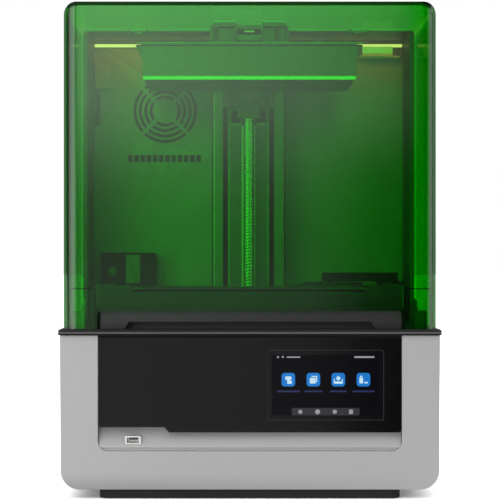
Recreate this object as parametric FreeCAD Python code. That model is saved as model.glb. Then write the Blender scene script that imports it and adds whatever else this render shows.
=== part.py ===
import FreeCAD, Part
import math
import os

# Desktop resin printer: a steel base with a touch screen, a raised vat bay, a cantilevered
# build platform on a ball-screw column in a rear housing, and a green hood hinged at its top
# rear edge. Millimetres. +X right, +Y towards the back, +Z up, origin at the middle of the
# footprint on the table.

os.makedirs("parts", exist_ok=True)
V = FreeCAD.Vector
X_AXIS = V(1, 0, 0)
Y_AXIS = V(0, 1, 0)
Z_AXIS = V(0, 0, 1)

# ---- driving dimensions -------------------------------------------------------------------
LIP_X = 265.0            # half width of the deck plate, the widest piece
LIP_Y = 220.0            # half depth of the deck plate
LIP_OVERHANG = 3.0
FOOT_HEIGHT = 1.0
FOOT_X = 175.0
FOOT_Y = 160.0
FOOT_R = 16.0
FOOT_POCKET = 3.0
PLINTH_TOP = 13.0
DECK_BOTTOM = 225.6
DECK_TOP = 233.5
TOTAL_HEIGHT = 686.0
SHEET = 2.5              # base sheet metal
GAP = 0.3                # clearance between pieces that move past each other

COVER_X = 258.7          # half width of the hood
COVER_FRONT = -212.0
COVER_REAR = 60.0
COVER_WALL = 4.0
COVER_RADIUS = 19.0       # top side edges and upright front edges
COVER_BOTTOM = DECK_TOP + GAP
CUTOUT_X = 211.0         # hand cut-out in the hood's lower front edge
CUTOUT_TOP = 259.0

HOUSING_X = 255.6
HOUSING_FRONT = 62.0
HOUSING_REAR = 217.0
HOUSING_TOP = 683.3
HOUSING_SIDE = 7.0         # thickness of the side walls
HOUSING_WALL = 2.5         # thickness of the top
HOUSING_RADIUS = 6.0
INNER_RADIUS = 2.0
BACK_WALL = 172.0        # front face of the chamber's back wall

HINGE_Y = 62.0
HINGE_Z = 682.0
HINGE_X = 170.0          # centre of each hinge
HINGE_LENGTH = 30.0
HINGE_END = 9.0            # length of each fixed end barrel
BARREL_R = 3.5
PIN_R = 1.5

PLATE_X = 152.5          # half width of the build plate at its lower edge
PLATE_DRAFT = 2.1        # how much wider each side is at the top
PLATE_FRONT = -125.3
PLATE_REAR = 46.7
PLATE_BOTTOM = 587.6
PLATE_TOP = 635.6
CAP_TOP = 641.3
LIP_FOOT = 618.4         # where the platform's side lips taper into its sides
LIP_FRONT = -99.0
TRAVEL = 343.0           # platform travel from home, at the top, to the vat film

SCREW_Y = 100.0
SCREW_R = 7.0
NUT_R = 13.0
RUNNING = 0.05           # radial running clearance of shafts
COLUMN_X = 56.0
COLUMN_FRONT = 115.0
COLUMN_BACK = 170.0
COLUMN_BOTTOM = 190.0
COLUMN_TOP = 660.0
RAIL_X = 36.5            # rail centre line, behind each slot of the column
SLOT_HALF = 3.6
CARRIAGE_X = 34.6
CARRIAGE_FRONT = 80.0
CARRIAGE_BACK = 112.5
CARRIAGE_BOTTOM = 567.0
CARRIAGE_TOP = 657.0
NUT_BOTTOM = 551.0
BOLT_X = 21.5
BOLT_Z = 574.0
BOLT_R = 2.9

STEM_X = 22.5            # platform stems run in the clamp's two arches, from this inner face
STEM_NECK = 44.0         # outer face of the stem's neck
STEM_HEAD = 46.5         # outer face of its head, which the arch's lip holds
STEM_TOP = 666.0
RECEIVER_FRONT = -92.0
RECEIVER_REAR = -38.0
RECEIVER_BOTTOM = 645.0
RECEIVER_TOP = 677.0
LEVER_HALF = 17.6
PIVOT_Y = -86.0
PIVOT_Z = 664.0

VAT_X = 171.0
VAT_FRONT = -142.0
VAT_REAR = 63.0
VAT_WALL = 9.0
VAT_BOTTOM = 244.0
VAT_TOP = 288.0
KNOB_X = 187.0
KNOB_Y = -30.0
LCD_TOP = 243.0

GRIP_X = 212.5            # half width of the panel behind the hood's cut-out
BAY_X = 217.0
BAY_FRONT = -172.0
BAY_REAR = 66.0
BAY_WALL = 11.0
BAY_TOP = 293.0
SHELF_TOP = 287.6

FAN_X = -133.8           # chamber fan, behind the ring grille
FAN_Z = 568.7
CHAMBER_FAN_SIZE = 120.0
BASE_FAN_X = -150.0
BASE_FAN_Z = 120.0
BASE_FAN_SIZE = 92.0
FAN_DEPTH = 25.0
HUB_R = 19.0
AXLE_R = 1.5

RECESS_X = 209.3         # front recess that carries the fascia
RECESS_BOTTOM = 66.0
FASCIA_BOTTOM = 91.8
FASCIA_TOP = 223.4
SCREEN = (24.0, 184.0, 109.0, 205.0)      # glass: low x, high x, low z, high z
USB = (-172.3, -149.8, 74.9, 86.9)        # port block: low x, high x, low z, high z
INLET_X = 165.0
INLET_Z = 70.0
ROCKER_X = 112.0


# ---- helpers ------------------------------------------------------------------------------
def box(x0, x1, y0, y1, z0, z1):
    return Part.makeBox(x1 - x0, y1 - y0, z1 - z0, V(x0, y0, z0))


def wide(half_x, y0, y1, z0, z1):
    return box(-half_x, half_x, y0, y1, z0, z1)


def rod(radius, start, length, axis=Z_AXIS):
    return Part.makeCylinder(radius, length, V(*start), axis)


def parallel(edge, axis):
    if edge.Curve.TypeId != "Part::GeomLine":
        return False
    return edge.tangentAt(edge.FirstParameter).cross(axis).Length < 1e-6


def rounded(shape, axis, radius, where=lambda centre: True):
    edges = [e for e in shape.Edges if parallel(e, axis) and where(e.CenterOfMass)]
    return shape.makeFillet(radius, edges)


def join(first, *others):
    return first.fuse(list(others)).removeSplitter()


def mirrored(shape):
    return shape.mirror(V(0, 0, 0), X_AXIS)


def both_sides(shape):
    return [shape, mirrored(shape)]


def extruded(points, direction):
    return Part.Face(Part.makePolygon([V(*p) for p in points + points[:1]])).extrude(direction)


def save(name, *shapes):
    whole = shapes[0] if len(shapes) == 1 else Part.makeCompound(list(shapes))
    whole.exportStep("parts/" + name + ".step")


# ---- base ---------------------------------------------------------------------------------
def foot_plinth():
    slab = rounded(wide(208, -214, 190, FOOT_HEIGHT, PLINTH_TOP), Z_AXIS, 14)
    for x in (-FOOT_X, FOOT_X):
        for y in (-FOOT_Y, FOOT_Y):
            slab = slab.cut(rod(FOOT_R, (x, y, FOOT_HEIGHT), FOOT_POCKET))
    return slab


def rubber_feet():
    height = FOOT_HEIGHT + FOOT_POCKET
    return [rod(FOOT_R, (x, y, 0), height) for x in (-FOOT_X, FOOT_X) for y in (-FOOT_Y, FOOT_Y)]


def base_profile(inset, y0, y1):
    """The base's drafted front outline with round lower corners, drawn in by inset."""
    top_x = LIP_X - LIP_OVERHANG - inset
    low_x = top_x - 1.4
    bottom = PLINTH_TOP + inset
    points = [(-top_x, y0, DECK_BOTTOM), (-low_x, y0, bottom)]
    points += [(low_x, y0, bottom), (top_x, y0, DECK_BOTTOM)]
    solid = extruded(points, V(0, y1 - y0, 0))
    return rounded(solid, Y_AXIS, 26 - inset, lambda c: c.z < bottom + 1)


def base_shell():
    depth = LIP_Y - LIP_OVERHANG
    shell = base_profile(0, -depth, depth).cut(base_profile(SHEET, SHEET - depth, depth + 1))
    opening = wide(RECESS_X, -depth - 1, SHEET - depth + 1, RECESS_BOTTOM, DECK_BOTTOM + 1)
    opening = rounded(opening, Y_AXIS, 14, lambda c: c.z < RECESS_BOTTOM + 1)
    return shell.cut(opening)


def base_rear_cover():
    depth = LIP_Y - LIP_OVERHANG
    panel = base_profile(SHEET + 0.2, depth - SHEET, depth)
    front = depth - SHEET - 1
    for row in range(6):
        z = BASE_FAN_Z - 30 + row * 12
        panel = panel.cut(box(BASE_FAN_X - 38, BASE_FAN_X + 38, front, depth + 1, z - 2, z + 2))
    panel = panel.cut(inlet_hole(front)).cut(rocker_hole(front))
    return panel


def inlet_hole(front):
    return box(INLET_X - 14, INLET_X + 14, front, front + 6, INLET_Z - 10, INLET_Z + 10)


def rocker_hole(front):
    return box(ROCKER_X - 11, ROCKER_X + 11, front, front + 6, INLET_Z - 14, INLET_Z + 14)


def power_inlet():
    """Inlet module: one flange with a three-pole socket and the switch's well and axle."""
    rear = LIP_Y - LIP_OVERHANG
    flange = box(ROCKER_X - 15, INLET_X + 25, rear, rear + 2.5, INLET_Z - 17, INLET_Z + 17)
    body = box(INLET_X - 13.8, INLET_X + 13.8, rear - 22, rear, INLET_Z - 9.8, INLET_Z + 9.8)
    socket = box(INLET_X - 12, INLET_X + 12, rear - 16, rear + 3, INLET_Z - 8, INLET_Z + 8)
    frame = box(ROCKER_X - 10.8, ROCKER_X + 10.8, rear - 20, rear, INLET_Z - 13.8, INLET_Z + 13.8)
    well = box(ROCKER_X - 9.3, ROCKER_X + 9.3, rear - 14, rear + 3, INLET_Z - 12, INLET_Z + 12)
    axle = rod(1.5, (ROCKER_X - 10, rear - 5, INLET_Z), 20, X_AXIS)
    return join(join(rounded(flange, Y_AXIS, 4), body, frame).cut(socket).cut(well), axle)


def power_rocker():
    """The rocker turns on the frame's axle; its face stands proud at one end."""
    rear = LIP_Y - LIP_OVERHANG
    points = [(rear - 9, -7), (rear + 1.2, -11), (rear - 0.4, 0), (rear + 4.0, 9.6), (rear - 9, 7)]
    outline = [(ROCKER_X - 8.8, y, INLET_Z + z) for y, z in points]
    rocker = extruded(outline, V(17.6, 0, 0))
    return rocker.cut(rod(1.5 + RUNNING, (ROCKER_X - 10, rear - 5, INLET_Z), 20, X_AXIS))


def front_bezel():
    """Panel behind the fascia, with the cove that slopes out to the base's face below it."""
    face = -(LIP_Y - LIP_OVERHANG)
    low = RECESS_BOTTOM + GAP
    groove = face + 1.8
    side = [(-208, 225), (-208, 91.6), (-210, 85), (-213.4, 77), (face, 72.4), (face, 70.8)]
    side += [(groove, 70.3), (groove, low), (face + 4.2, low), (face + 4.2, 71), (-210.6, 76)]
    side += [(-207.6, 84), (-205.5, 91.6), (-205.5, 225)]
    half = RECESS_X - 0.2
    panel = extruded([(-half, y, z) for y, z in side], V(2 * half, 0, 0))
    corners = wide(half, face - 1, -200, low, 226)
    corners = rounded(corners, Y_AXIS, 13.8, lambda c: c.z < low + 1)
    x0, x1, z0, z1 = USB
    panel = panel.common(corners).cut(box(x0, x1, face - 1, -200, z0, z1))
    return panel.cut(box(SCREEN[0] + 6, SCREEN[1] - 6, -209, -200, SCREEN[2] + 6, SCREEN[3] - 6))


def front_fascia():
    """Black front panel; its lower edge steps down right of the status strip."""
    half = RECESS_X - 0.3
    step_z = 98.9
    outline = [(-half, FASCIA_TOP), (-half, step_z), (-118.1, step_z)]
    outline += [(-111.5, FASCIA_BOTTOM), (half, FASCIA_BOTTOM), (half, FASCIA_TOP)]
    panel = extruded([(x, -217.5, z) for x, z in outline], V(0, 9.5, 0))
    panel = rounded(panel, Y_AXIS, 4, lambda c: abs(c.x) > half - 1 and c.z < 100)
    x0, x1, z0, z1 = SCREEN
    return panel.cut(rounded(box(x0, x1, -219, -207, z0, z1), Y_AXIS, 3))


def touch_screen():
    x0, x1, z0, z1 = SCREEN
    glass = rounded(box(x0 + 0.15, x1 - 0.15, -217.4, -212, z0 + 0.15, z1 - 0.15), Y_AXIS, 3)
    module = box(x0 + 6.2, x1 - 6.2, -212, -202, z0 + 6.2, z1 - 6.2)
    return join(glass, module)


def usb_port():
    x0, x1, z0, z1 = USB
    block = rounded(box(x0 + 0.1, x1 - 0.1, -216, -198, z0 + 0.1, z1 - 0.1), Y_AXIS, 1.5)
    socket = box(x0 + 2.8, x1 - 2.8, -217, -202, z0 + 2.2, z1 - 2.2)
    return block.cut(socket)


def deck_plate():
    plate = rounded(wide(LIP_X, -LIP_Y, LIP_Y, DECK_BOTTOM, DECK_TOP), Z_AXIS, 10)
    top = [e for e in plate.Edges if e.BoundBox.ZMin > DECK_TOP - 1e-3]
    plate = plate.makeChamfer(2.0, top)
    window = wide(148, -120, 41, DECK_BOTTOM - 1, DECK_TOP + 1)
    slot = wide(60, 74, 171, DECK_BOTTOM - 1, DECK_TOP + 1)
    return plate.cut(window).cut(slot)


def grip_panel():
    """Dark box behind the hood's cut-out, with a finger recess along its foot."""
    front = -207.0
    panel = wide(GRIP_X, front, BAY_FRONT - 0.2, DECK_TOP, 263)
    panel = panel.cut(wide(GRIP_X - 3, front + 17, BAY_FRONT + 1, DECK_TOP - 1, 260))
    top = DECK_TOP + 10.1
    recess = extruded([(-174, front - 1, DECK_TOP - 1), (-167, front - 1, top),
                       (167, front - 1, top), (174, front - 1, DECK_TOP - 1)], V(0, 15, 0))
    return panel.cut(recess)


def bay_surround():
    """Front and side walls round the vat, with a notch that shows the vat's rim."""
    inner = BAY_X - BAY_WALL
    wall = rounded(wide(BAY_X, BAY_FRONT, BAY_REAR, DECK_TOP, BAY_TOP), Z_AXIS, 8, lambda c: c.y < 0)
    wall = wall.cut(wide(inner, BAY_FRONT + BAY_WALL, BAY_REAR + 1, DECK_TOP - 1, BAY_TOP + 1))
    notch = wide(168.8, BAY_FRONT - 1, BAY_FRONT + BAY_WALL + 1, 282.8, BAY_TOP + 1)
    notch = rounded(notch, Y_AXIS, 4, lambda c: c.z < 284)
    return wall.cut(notch)


def rear_shelf():
    """Two raised shelves beside the column; they carry the feed pump and the feed head."""
    inner_x = 60.0
    outer_x = HOUSING_X - HOUSING_SIDE - 0.5
    front = BAY_REAR + 0.5
    shelf = box(inner_x, outer_x, front, BACK_WALL - 0.5, DECK_TOP, SHELF_TOP)
    shelf = rounded(shelf, X_AXIS, 5, lambda c: c.z > SHELF_TOP - 1 and c.y < front + 1)
    hollow = box(inner_x + 3, outer_x - 3, front + 3, BACK_WALL - 3.5, DECK_TOP - 1, SHELF_TOP - 3)
    tray = extruded([(66, 84, SHELF_TOP - 1), (91, 84, 294.7), (176, 84, 294.7), (181, 84, SHELF_TOP - 1)],
                    V(0, 28, 0))
    return [join(shelf.cut(hollow), tray), mirrored(shelf.cut(hollow))]


def cover_guides():
    """Low blocks that centre the closed hood, each with a tapered lead-in finger."""
    block = box(229.5, 246, -200, -176, DECK_TOP, 259)
    finger = extruded([(229.5, -196, 259), (234, -196, 259), (231.5, -196, 275), (229.5, -196, 275)],
                      V(0, 12, 0))
    guide = join(rounded(block, Y_AXIS, 2, lambda c: c.z > 258 and c.x > 240), finger)
    return both_sides(guide)


def lcd_frame():
    frame = rounded(wide(156, -128, 49, DECK_TOP, 242.5), Z_AXIS, 8)
    frame = frame.cut(wide(148, -120, 41, DECK_TOP - 1, 244))
    return frame.cut(wide(152.2, -124.2, 45.2, 240.5, 244))


def mask_lcd():
    return wide(152, -124, 45, 240.5, LCD_TOP)


def light_engine_housing():
    box_outer = wide(160, -132, 53, 90, DECK_BOTTOM)
    return box_outer.cut(wide(157.5, -129.5, 50.5, 89, DECK_BOTTOM + 1))


def uv_led_array():
    board = wide(157, -129, 50, 86, 89.5)
    lamps = []
    for column in range(9):
        for row in range(5):
            x = (column - 4) * 33.0
            y = -39.5 + (row - 2) * 34.0
            lamps.append(rod(4, (x, y, 89.5), 4))
    return join(board, *lamps)


def heat_sink():
    base = wide(150, -125, 46, 78, 86)
    fins = [box(-150 + i * 12.4, -148 + i * 12.4, -125, 46, 46, 78) for i in range(25)]
    return join(base, *fins)


def mainboard():
    board = box(162, 236, -150, 30, 30, 32)
    posts = [rod(3, (x, y, 15.5), 14.5) for x in (166, 231) for y in (-146, 26)]
    chips = [box(180, 205, -60, -35, 32, 35), box(170, 190, -20, 10, 32, 44),
             box(212, 232, -140, -70, 32, 46)]
    return join(board, *posts, *chips)


def power_supply():
    case = rounded(box(-236, -162, -110, 95, 15.5, 65.5), Y_AXIS, 2, lambda c: c.z > 60)
    slots = [box(-228, -170, -95 + i * 14, -90 + i * 14, 60, 70) for i in range(12)]
    hollow = box(-234, -164, -108, 93, 17.5, 63.5)
    return case.cut(hollow).cut(Part.makeCompound(slots))


# ---- fans: a frame with a round duct, struts and a stub axle, and a seven-bladed rotor -------
def fan_frame(x, z, size, front):
    half = size / 2
    frame = rounded(box(x - half, x + half, front, front + FAN_DEPTH, z - half, z + half), Y_AXIS, 5)
    frame = frame.cut(rod(half - 2, (x, front - 1, z), FAN_DEPTH + 2, Y_AXIS))
    strut_front = front + FAN_DEPTH - 3
    struts = [rod(HUB_R, (x, strut_front, z), 3, Y_AXIS),
              rod(AXLE_R, (x, front + 8, z), FAN_DEPTH - 10, Y_AXIS)]
    for turn in (45, 135, 225, 315):
        bar = box(x - 2, x + 2, strut_front, strut_front + 3, z, z + half - 1)
        bar.rotate(V(x, 0, z), Y_AXIS, turn)
        struts.append(bar)
    for dx in (-1, 1):
        for dz in (-1, 1):
            frame = frame.cut(rod(2.2, (x + dx * (half - 7.5), front - 1, z + dz * (half - 7.5)),
                                  FAN_DEPTH + 2, Y_AXIS))
    return join(frame, *struts)


def fan_rotor(x, z, size, front):
    hub_depth = FAN_DEPTH - 6
    hub = rod(HUB_R - 1, (x, front + 1, z), hub_depth, Y_AXIS)
    reach = size / 2 - 3.5
    swept = rod(reach, (x, front + 2.5, z), hub_depth - 3, Y_AXIS)
    blades = []
    for index in range(7):
        blade = box(x - 0.9, x + 0.9, front - 4, front + 26, z + HUB_R - 5, z + reach + 4)
        blade.rotate(V(x, front + 11, z), Z_AXIS, 38)
        blade.rotate(V(x, 0, z), Y_AXIS, index * 360 / 7)
        blades.append(blade.common(swept))
    bore = rod(AXLE_R + RUNNING, (x, front + 7, z), FAN_DEPTH, Y_AXIS)
    return hub.fuse(blades).cut(bore)


# ---- Z axis ---------------------------------------------------------------------------------
def z_motor():
    body = rounded(box(-28.5, 28.5, SCREW_Y - 28.5, SCREW_Y + 28.5, 45, 120), Z_AXIS, 5)
    return join(body, rod(19, (0, SCREW_Y, 120), 1.6))


def motor_bracket():
    """Plate over the motor, two cheeks, and the block with the screw's lower bearing."""
    plate = wide(COLUMN_X, 68, COLUMN_BACK, 120, 126).cut(rod(20, (0, SCREW_Y, 119), 8))
    cheeks = both_sides(box(44, COLUMN_X, 68, COLUMN_BACK, 126, 156))
    block = wide(COLUMN_X, 68, COLUMN_BACK, 156, 172)
    block = block.cut(rod(6 + RUNNING, (0, SCREW_Y, 150), 30))
    post = wide(COLUMN_X, COLUMN_FRONT, COLUMN_BACK, 172, COLUMN_BOTTOM)
    return join(plate, *cheeks, block, post)


def upper_bearing_block():
    block = wide(30, 88, 127, COLUMN_TOP, COLUMN_TOP + 12)
    cap = wide(COLUMN_X, COLUMN_FRONT, COLUMN_BACK - 4.5, COLUMN_TOP, COLUMN_TOP + 12)
    whole = join(block, cap)
    return whole.cut(rod(6 + RUNNING, (0, SCREW_Y, COLUMN_TOP - 1), 11))


def column_frame():
    """Open channel: a back web and two side walls that the front strips close."""
    web = wide(COLUMN_X, 160, COLUMN_BACK, COLUMN_BOTTOM, COLUMN_TOP)
    sides = both_sides(box(50, COLUMN_X, 119, 160, COLUMN_BOTTOM, COLUMN_TOP))
    return join(web, *sides)


def column_strips():
    """Four front strips that leave two slots for the carriage lugs and a centre gap."""
    outer = box(RAIL_X + SLOT_HALF, COLUMN_X, COLUMN_FRONT, 119, COLUMN_BOTTOM, COLUMN_TOP)
    inner = box(9, RAIL_X - SLOT_HALF, COLUMN_FRONT, 119, COLUMN_BOTTOM, COLUMN_TOP)
    return both_sides(outer) + both_sides(inner)


def linear_rails():
    return both_sides(box(RAIL_X - 7.5, RAIL_X + 7.5, 150, 160, 215, COLUMN_TOP - 2))


def rail_blocks():
    block = box(RAIL_X - 13, RAIL_X + 13, 136, 158, 572, 652)
    return both_sides(block.cut(box(RAIL_X - 7.9, RAIL_X + 7.9, 149.6, 161, 570, 654)))


def ball_screw():
    thread = rod(SCREW_R, (0, SCREW_Y, 174), COLUMN_TOP - 3 - 174)
    lower = rod(6, (0, SCREW_Y, 140), 34)
    upper = rod(6, (0, SCREW_Y, COLUMN_TOP - 3), 12)
    return join(thread, lower, upper)


def screw_coupler():
    body = rod(13, (0, SCREW_Y, 127), 26)
    body = body.cut(rod(6, (0, SCREW_Y, 140), 14))
    shaft = rod(4, (0, SCREW_Y, 122), 8)
    return join(body, shaft)


def ball_nut():
    flange = wide(18, 84, 113.5, NUT_BOTTOM, CARRIAGE_BOTTOM)
    flange = rounded(flange, Z_AXIS, 3)
    body = rod(NUT_R, (0, SCREW_Y, CARRIAGE_BOTTOM), 28)
    bore = rod(SCREW_R + RUNNING, (0, SCREW_Y, NUT_BOTTOM - 1), 60)
    return join(flange, body).cut(bore)


def carriage_block():
    """Body round the nut and screw, with lugs that reach through the column's slots."""
    block = wide(CARRIAGE_X, CARRIAGE_FRONT, CARRIAGE_BACK, CARRIAGE_BOTTOM, CARRIAGE_TOP)
    block = rounded(block, Z_AXIS, 3, lambda c: c.y < CARRIAGE_FRONT + 1)
    block = block.cut(rod(NUT_R + 0.2, (0, SCREW_Y, CARRIAGE_BOTTOM - 1), 31))
    block = block.cut(wide(NUT_R + 0.2, SCREW_Y, 120, CARRIAGE_BOTTOM - 1, CARRIAGE_BOTTOM + 30))
    block = block.cut(wide(9.5, SCREW_Y - 9.5, 120, CARRIAGE_BOTTOM - 1, CARRIAGE_TOP + 1))
    for x in (-BOLT_X, BOLT_X):
        block = block.cut(rod(BOLT_R + 0.1, (x, CARRIAGE_FRONT - 1, BOLT_Z), 15, Y_AXIS))
    lug = box(RAIL_X - 2.9, RAIL_X + 2.9, 100, 136, 580, 645)
    return join(block, *both_sides(lug))


def carriage_bolts():
    bolts = []
    for x in (-BOLT_X, BOLT_X):
        head = rod(4.6, (x, CARRIAGE_FRONT - 4, BOLT_Z), 4, Y_AXIS)
        socket = rod(2.2, (x, CARRIAGE_FRONT - 4.5, BOLT_Z), 2.7, Y_AXIS)
        shank = rod(BOLT_R, (x, CARRIAGE_FRONT, BOLT_Z), 12, Y_AXIS)
        bolts.append(join(head, shank).cut(socket))
    return bolts


def platform_arm():
    """Cantilever: a plate on the carriage's face and a box beam out to the clamp."""
    foot = wide(30, 68, CARRIAGE_FRONT, 592, 672)
    beam = wide(30, -38, 68, 646, 672)
    return rounded(join(foot, beam), Y_AXIS, 4, lambda c: c.z > 671)


def stem(clearance):
    back = RECEIVER_REAR - 6 + clearance
    front = RECEIVER_FRONT + 1.5
    inner = STEM_X - clearance
    neck = box(inner, STEM_NECK + clearance, front, back, CAP_TOP - clearance, 652)
    head = box(inner, STEM_HEAD + clearance, front, back, 651 - clearance, STEM_TOP + clearance)
    return join(neck, head)


def stem_way():
    """The open-fronted channel that a stem slides in."""
    way = stem(GAP)
    return join(way, way.translated(V(0, -4, 0)))


def clamp_receiver():
    block = wide(57, RECEIVER_FRONT, RECEIVER_REAR, RECEIVER_BOTTOM, RECEIVER_TOP)
    block = rounded(block, Y_AXIS, 10, lambda c: c.z > RECEIVER_TOP - 1)
    front = [e for e in block.Edges if abs(e.BoundBox.YMax - RECEIVER_FRONT) < 1e-3
             and e.CenterOfMass.z > RECEIVER_BOTTOM + 1]
    block = block.makeChamfer(2.4, front)
    pocket = wide(LEVER_HALF + 1.8, RECEIVER_FRONT - 1, -70, RECEIVER_BOTTOM - 1, RECEIVER_TOP + 1)
    block = block.cut(pocket)
    for way in both_sides(stem_way()):
        block = block.cut(way)
    return block.cut(rod(2.5, (-22, PIVOT_Y, PIVOT_Z), 44, X_AXIS))


def lever_pin():
    return rod(2.5, (-21.9, PIVOT_Y, PIVOT_Z), 43.8, X_AXIS)


def clamp_lever():
    """Cam lever that hangs in the pocket between the ears and lifts towards the front."""
    grip = wide(LEVER_HALF, -90.6, -81.5, 647.5, 671.0)
    grip = rounded(grip, X_AXIS, 2.5)
    lever = grip.cut(rod(2.5 + RUNNING, (-LEVER_HALF - 1, PIVOT_Y, PIVOT_Z), 40, X_AXIS))
    lever = lever.cut(box(-7, 7, -92, -89.4, 660.2, 663.2))
    return lever.cut(wide(LEVER_HALF + 1, -92, -89.8, 640, 656.5))


def platform_cap():
    """Lid of the platform, with a rim, side lips for handling and the two T stems."""
    half = PLATE_X + PLATE_DRAFT
    lid = wide(half, PLATE_FRONT, PLATE_REAR, PLATE_TOP + 1.7, CAP_TOP)
    lid = rounded(lid, Z_AXIS, 2)
    neck = wide(half - 3, PLATE_FRONT + 3, PLATE_REAR - 3, PLATE_TOP, PLATE_TOP + 1.7)
    outline = [(-0.5, CAP_TOP), (9.5, CAP_TOP - 0.5), (9.5, CAP_TOP - 3), (0.1, LIP_FOOT)]
    outline += [(0.1, PLATE_TOP + 0.2), (-0.5, PLATE_TOP + 0.2)]
    lip = extruded([(half + x, LIP_FRONT, z) for x, z in outline], V(0, 120, 0))
    return join(lid, neck, *both_sides(lip), *both_sides(stem(0)))


def build_plate():
    """Cast tray: drafted outside walls, a thick machined floor, and a bevelled lower edge."""
    low = PLATE_BOTTOM
    top_x = PLATE_X + PLATE_DRAFT
    outline = [(-top_x, PLATE_TOP), (-PLATE_X, low + 5), (-PLATE_X + 1.2, low)]
    outline += [(PLATE_X - 1.2, low), (PLATE_X, low + 5), (top_x, PLATE_TOP)]
    body = extruded([(x, PLATE_FRONT, z) for x, z in outline], V(0, PLATE_REAR - PLATE_FRONT, 0))
    for edge, way in ((PLATE_FRONT, 1), (PLATE_REAR, -1)):
        slope = [(edge - way, low - 1), (edge + 1.5 * way, low - 1), (edge, low + 5), (edge - way, low + 5)]
        body = body.cut(extruded([(-200, y, z) for y, z in slope], V(400, 0, 0)))
    wall = 7.0
    hollow = wide(PLATE_X - wall, PLATE_FRONT + wall, PLATE_REAR - wall, low + 14, PLATE_TOP + 1)
    return body.cut(rounded(hollow, Z_AXIS, 8))


def levelling_screws():
    screws = []
    for x in (-100.0, 100.0):
        for y in (-85.0, 5.0):
            head = rod(6.5, (x, y, CAP_TOP), 6)
            screws.append(head.cut(rod(3, (x, y, CAP_TOP + 2), 5)))
    return screws


# ---- vat --------------------------------------------------------------------------------------
def vat_tray():
    wall = rounded(wide(VAT_X, VAT_FRONT, VAT_REAR, VAT_BOTTOM, VAT_TOP), Z_AXIS, 16)
    hollow = wide(VAT_X - VAT_WALL, VAT_FRONT + VAT_WALL, VAT_REAR - VAT_WALL, VAT_BOTTOM - 1, VAT_TOP + 1)
    wall = wall.cut(rounded(hollow, Z_AXIS, 10))
    ear = box(VAT_X - 2, VAT_X + 30, KNOB_Y - 22, KNOB_Y + 22, 262, 268)
    ear = rounded(ear, Z_AXIS, 8, lambda c: c.x > VAT_X + 20)
    ear = ear.cut(rod(4 + RUNNING, (KNOB_X, KNOB_Y, 260), 10))
    return join(wall, *both_sides(ear))


def film_frame():
    """Clamping frame with the release film stretched across it just above the glass."""
    ring = rounded(wide(VAT_X, VAT_FRONT, VAT_REAR, 238, VAT_BOTTOM), Z_AXIS, 16)
    ring = ring.cut(wide(159, -131, 52, 237, VAT_BOTTOM + 1))
    film = wide(160, -132, 53, LCD_TOP + 0.3, LCD_TOP + 0.6)
    return join(ring, film)


def vat_knob():
    """Knurled thumb screw, modelled for the right-hand side."""
    head = rod(12, (KNOB_X, KNOB_Y, 268.3), 14)
    for index in range(12):
        angle = math.radians(index * 30)
        groove_x = KNOB_X + 12.6 * math.cos(angle)
        groove_y = KNOB_Y + 12.6 * math.sin(angle)
        head = head.cut(rod(1.6, (groove_x, groove_y, 268), 15))
    return join(head, rod(4, (KNOB_X, KNOB_Y, 236), 33))


# ---- rear housing --------------------------------------------------------------------------------
def housing_profile(side, top, radius, y0, y1):
    """The housing's arch drawn in by side and top."""
    solid = wide(HOUSING_X - side, y0, y1, DECK_TOP, HOUSING_TOP - top)
    return rounded(solid, Y_AXIS, radius, lambda c: c.z > HOUSING_TOP - top - 1)


def rear_housing():
    shell = housing_profile(0, 0, HOUSING_RADIUS, HOUSING_FRONT, HOUSING_REAR)
    hollow = housing_profile(HOUSING_SIDE, HOUSING_WALL, INNER_RADIUS, HOUSING_FRONT - 1, HOUSING_REAR + 1)
    shell = shell.cut(hollow)
    for side in (-1, 1):
        x0 = side * HINGE_X - HINGE_LENGTH / 2 - 0.5
        notch = box(x0, x0 + HINGE_LENGTH + 1, HOUSING_FRONT - 1, HOUSING_FRONT + 4.4, 670, 690)
        shell = shell.cut(notch)
    return shell


def housing_rear_cover():
    panel = housing_profile(HOUSING_SIDE + 0.2, HOUSING_WALL + 0.2, INNER_RADIUS, HOUSING_REAR - 3,
                            HOUSING_REAR)
    for row in range(9):
        z = FAN_Z - 48 + row * 12
        panel = panel.cut(box(FAN_X - 50, FAN_X + 50, HOUSING_REAR - 4, HOUSING_REAR + 1, z - 2, z + 2))
    return panel


def ring_slot(radius):
    """One ring of the fan grille as four arcs between diagonal spokes."""
    ring = rod(radius + 2.3, (FAN_X, BACK_WALL - 1, FAN_Z), 5, Y_AXIS)
    ring = ring.cut(rod(radius - 2.3, (FAN_X, BACK_WALL - 2, FAN_Z), 7, Y_AXIS))
    for turn in (45, 135):
        spoke = box(FAN_X - 60, FAN_X + 60, BACK_WALL - 2, BACK_WALL + 5, FAN_Z - 3, FAN_Z + 3)
        spoke.rotate(V(FAN_X, 0, FAN_Z), Y_AXIS, turn)
        ring = ring.cut(spoke)
    return ring


def back_panel():
    """The chamber's back wall with the ring grille and a row of twelve vent slots."""
    panel = housing_profile(HOUSING_SIDE + 0.2, HOUSING_WALL + 0.2, INNER_RADIUS, BACK_WALL,
                            BACK_WALL + 3)
    for radius in (22.7, 31.4, 40.3, 48.8):
        panel = panel.cut(ring_slot(radius))
    for index in range(12):
        x = -190.1 + index * 10.0
        vent = box(x - 3.6, x + 3.6, BACK_WALL - 1, BACK_WALL + 4, 486.6, 497.8)
        panel = panel.cut(rounded(vent, Y_AXIS, 1.2))
    return panel


def led_bar():
    half = HOUSING_X - HOUSING_SIDE - 1
    holder = wide(half, 166, BACK_WALL, 669.6, 676.6)
    return rounded(holder, X_AXIS, 1.5, lambda c: c.y < 167)


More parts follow.
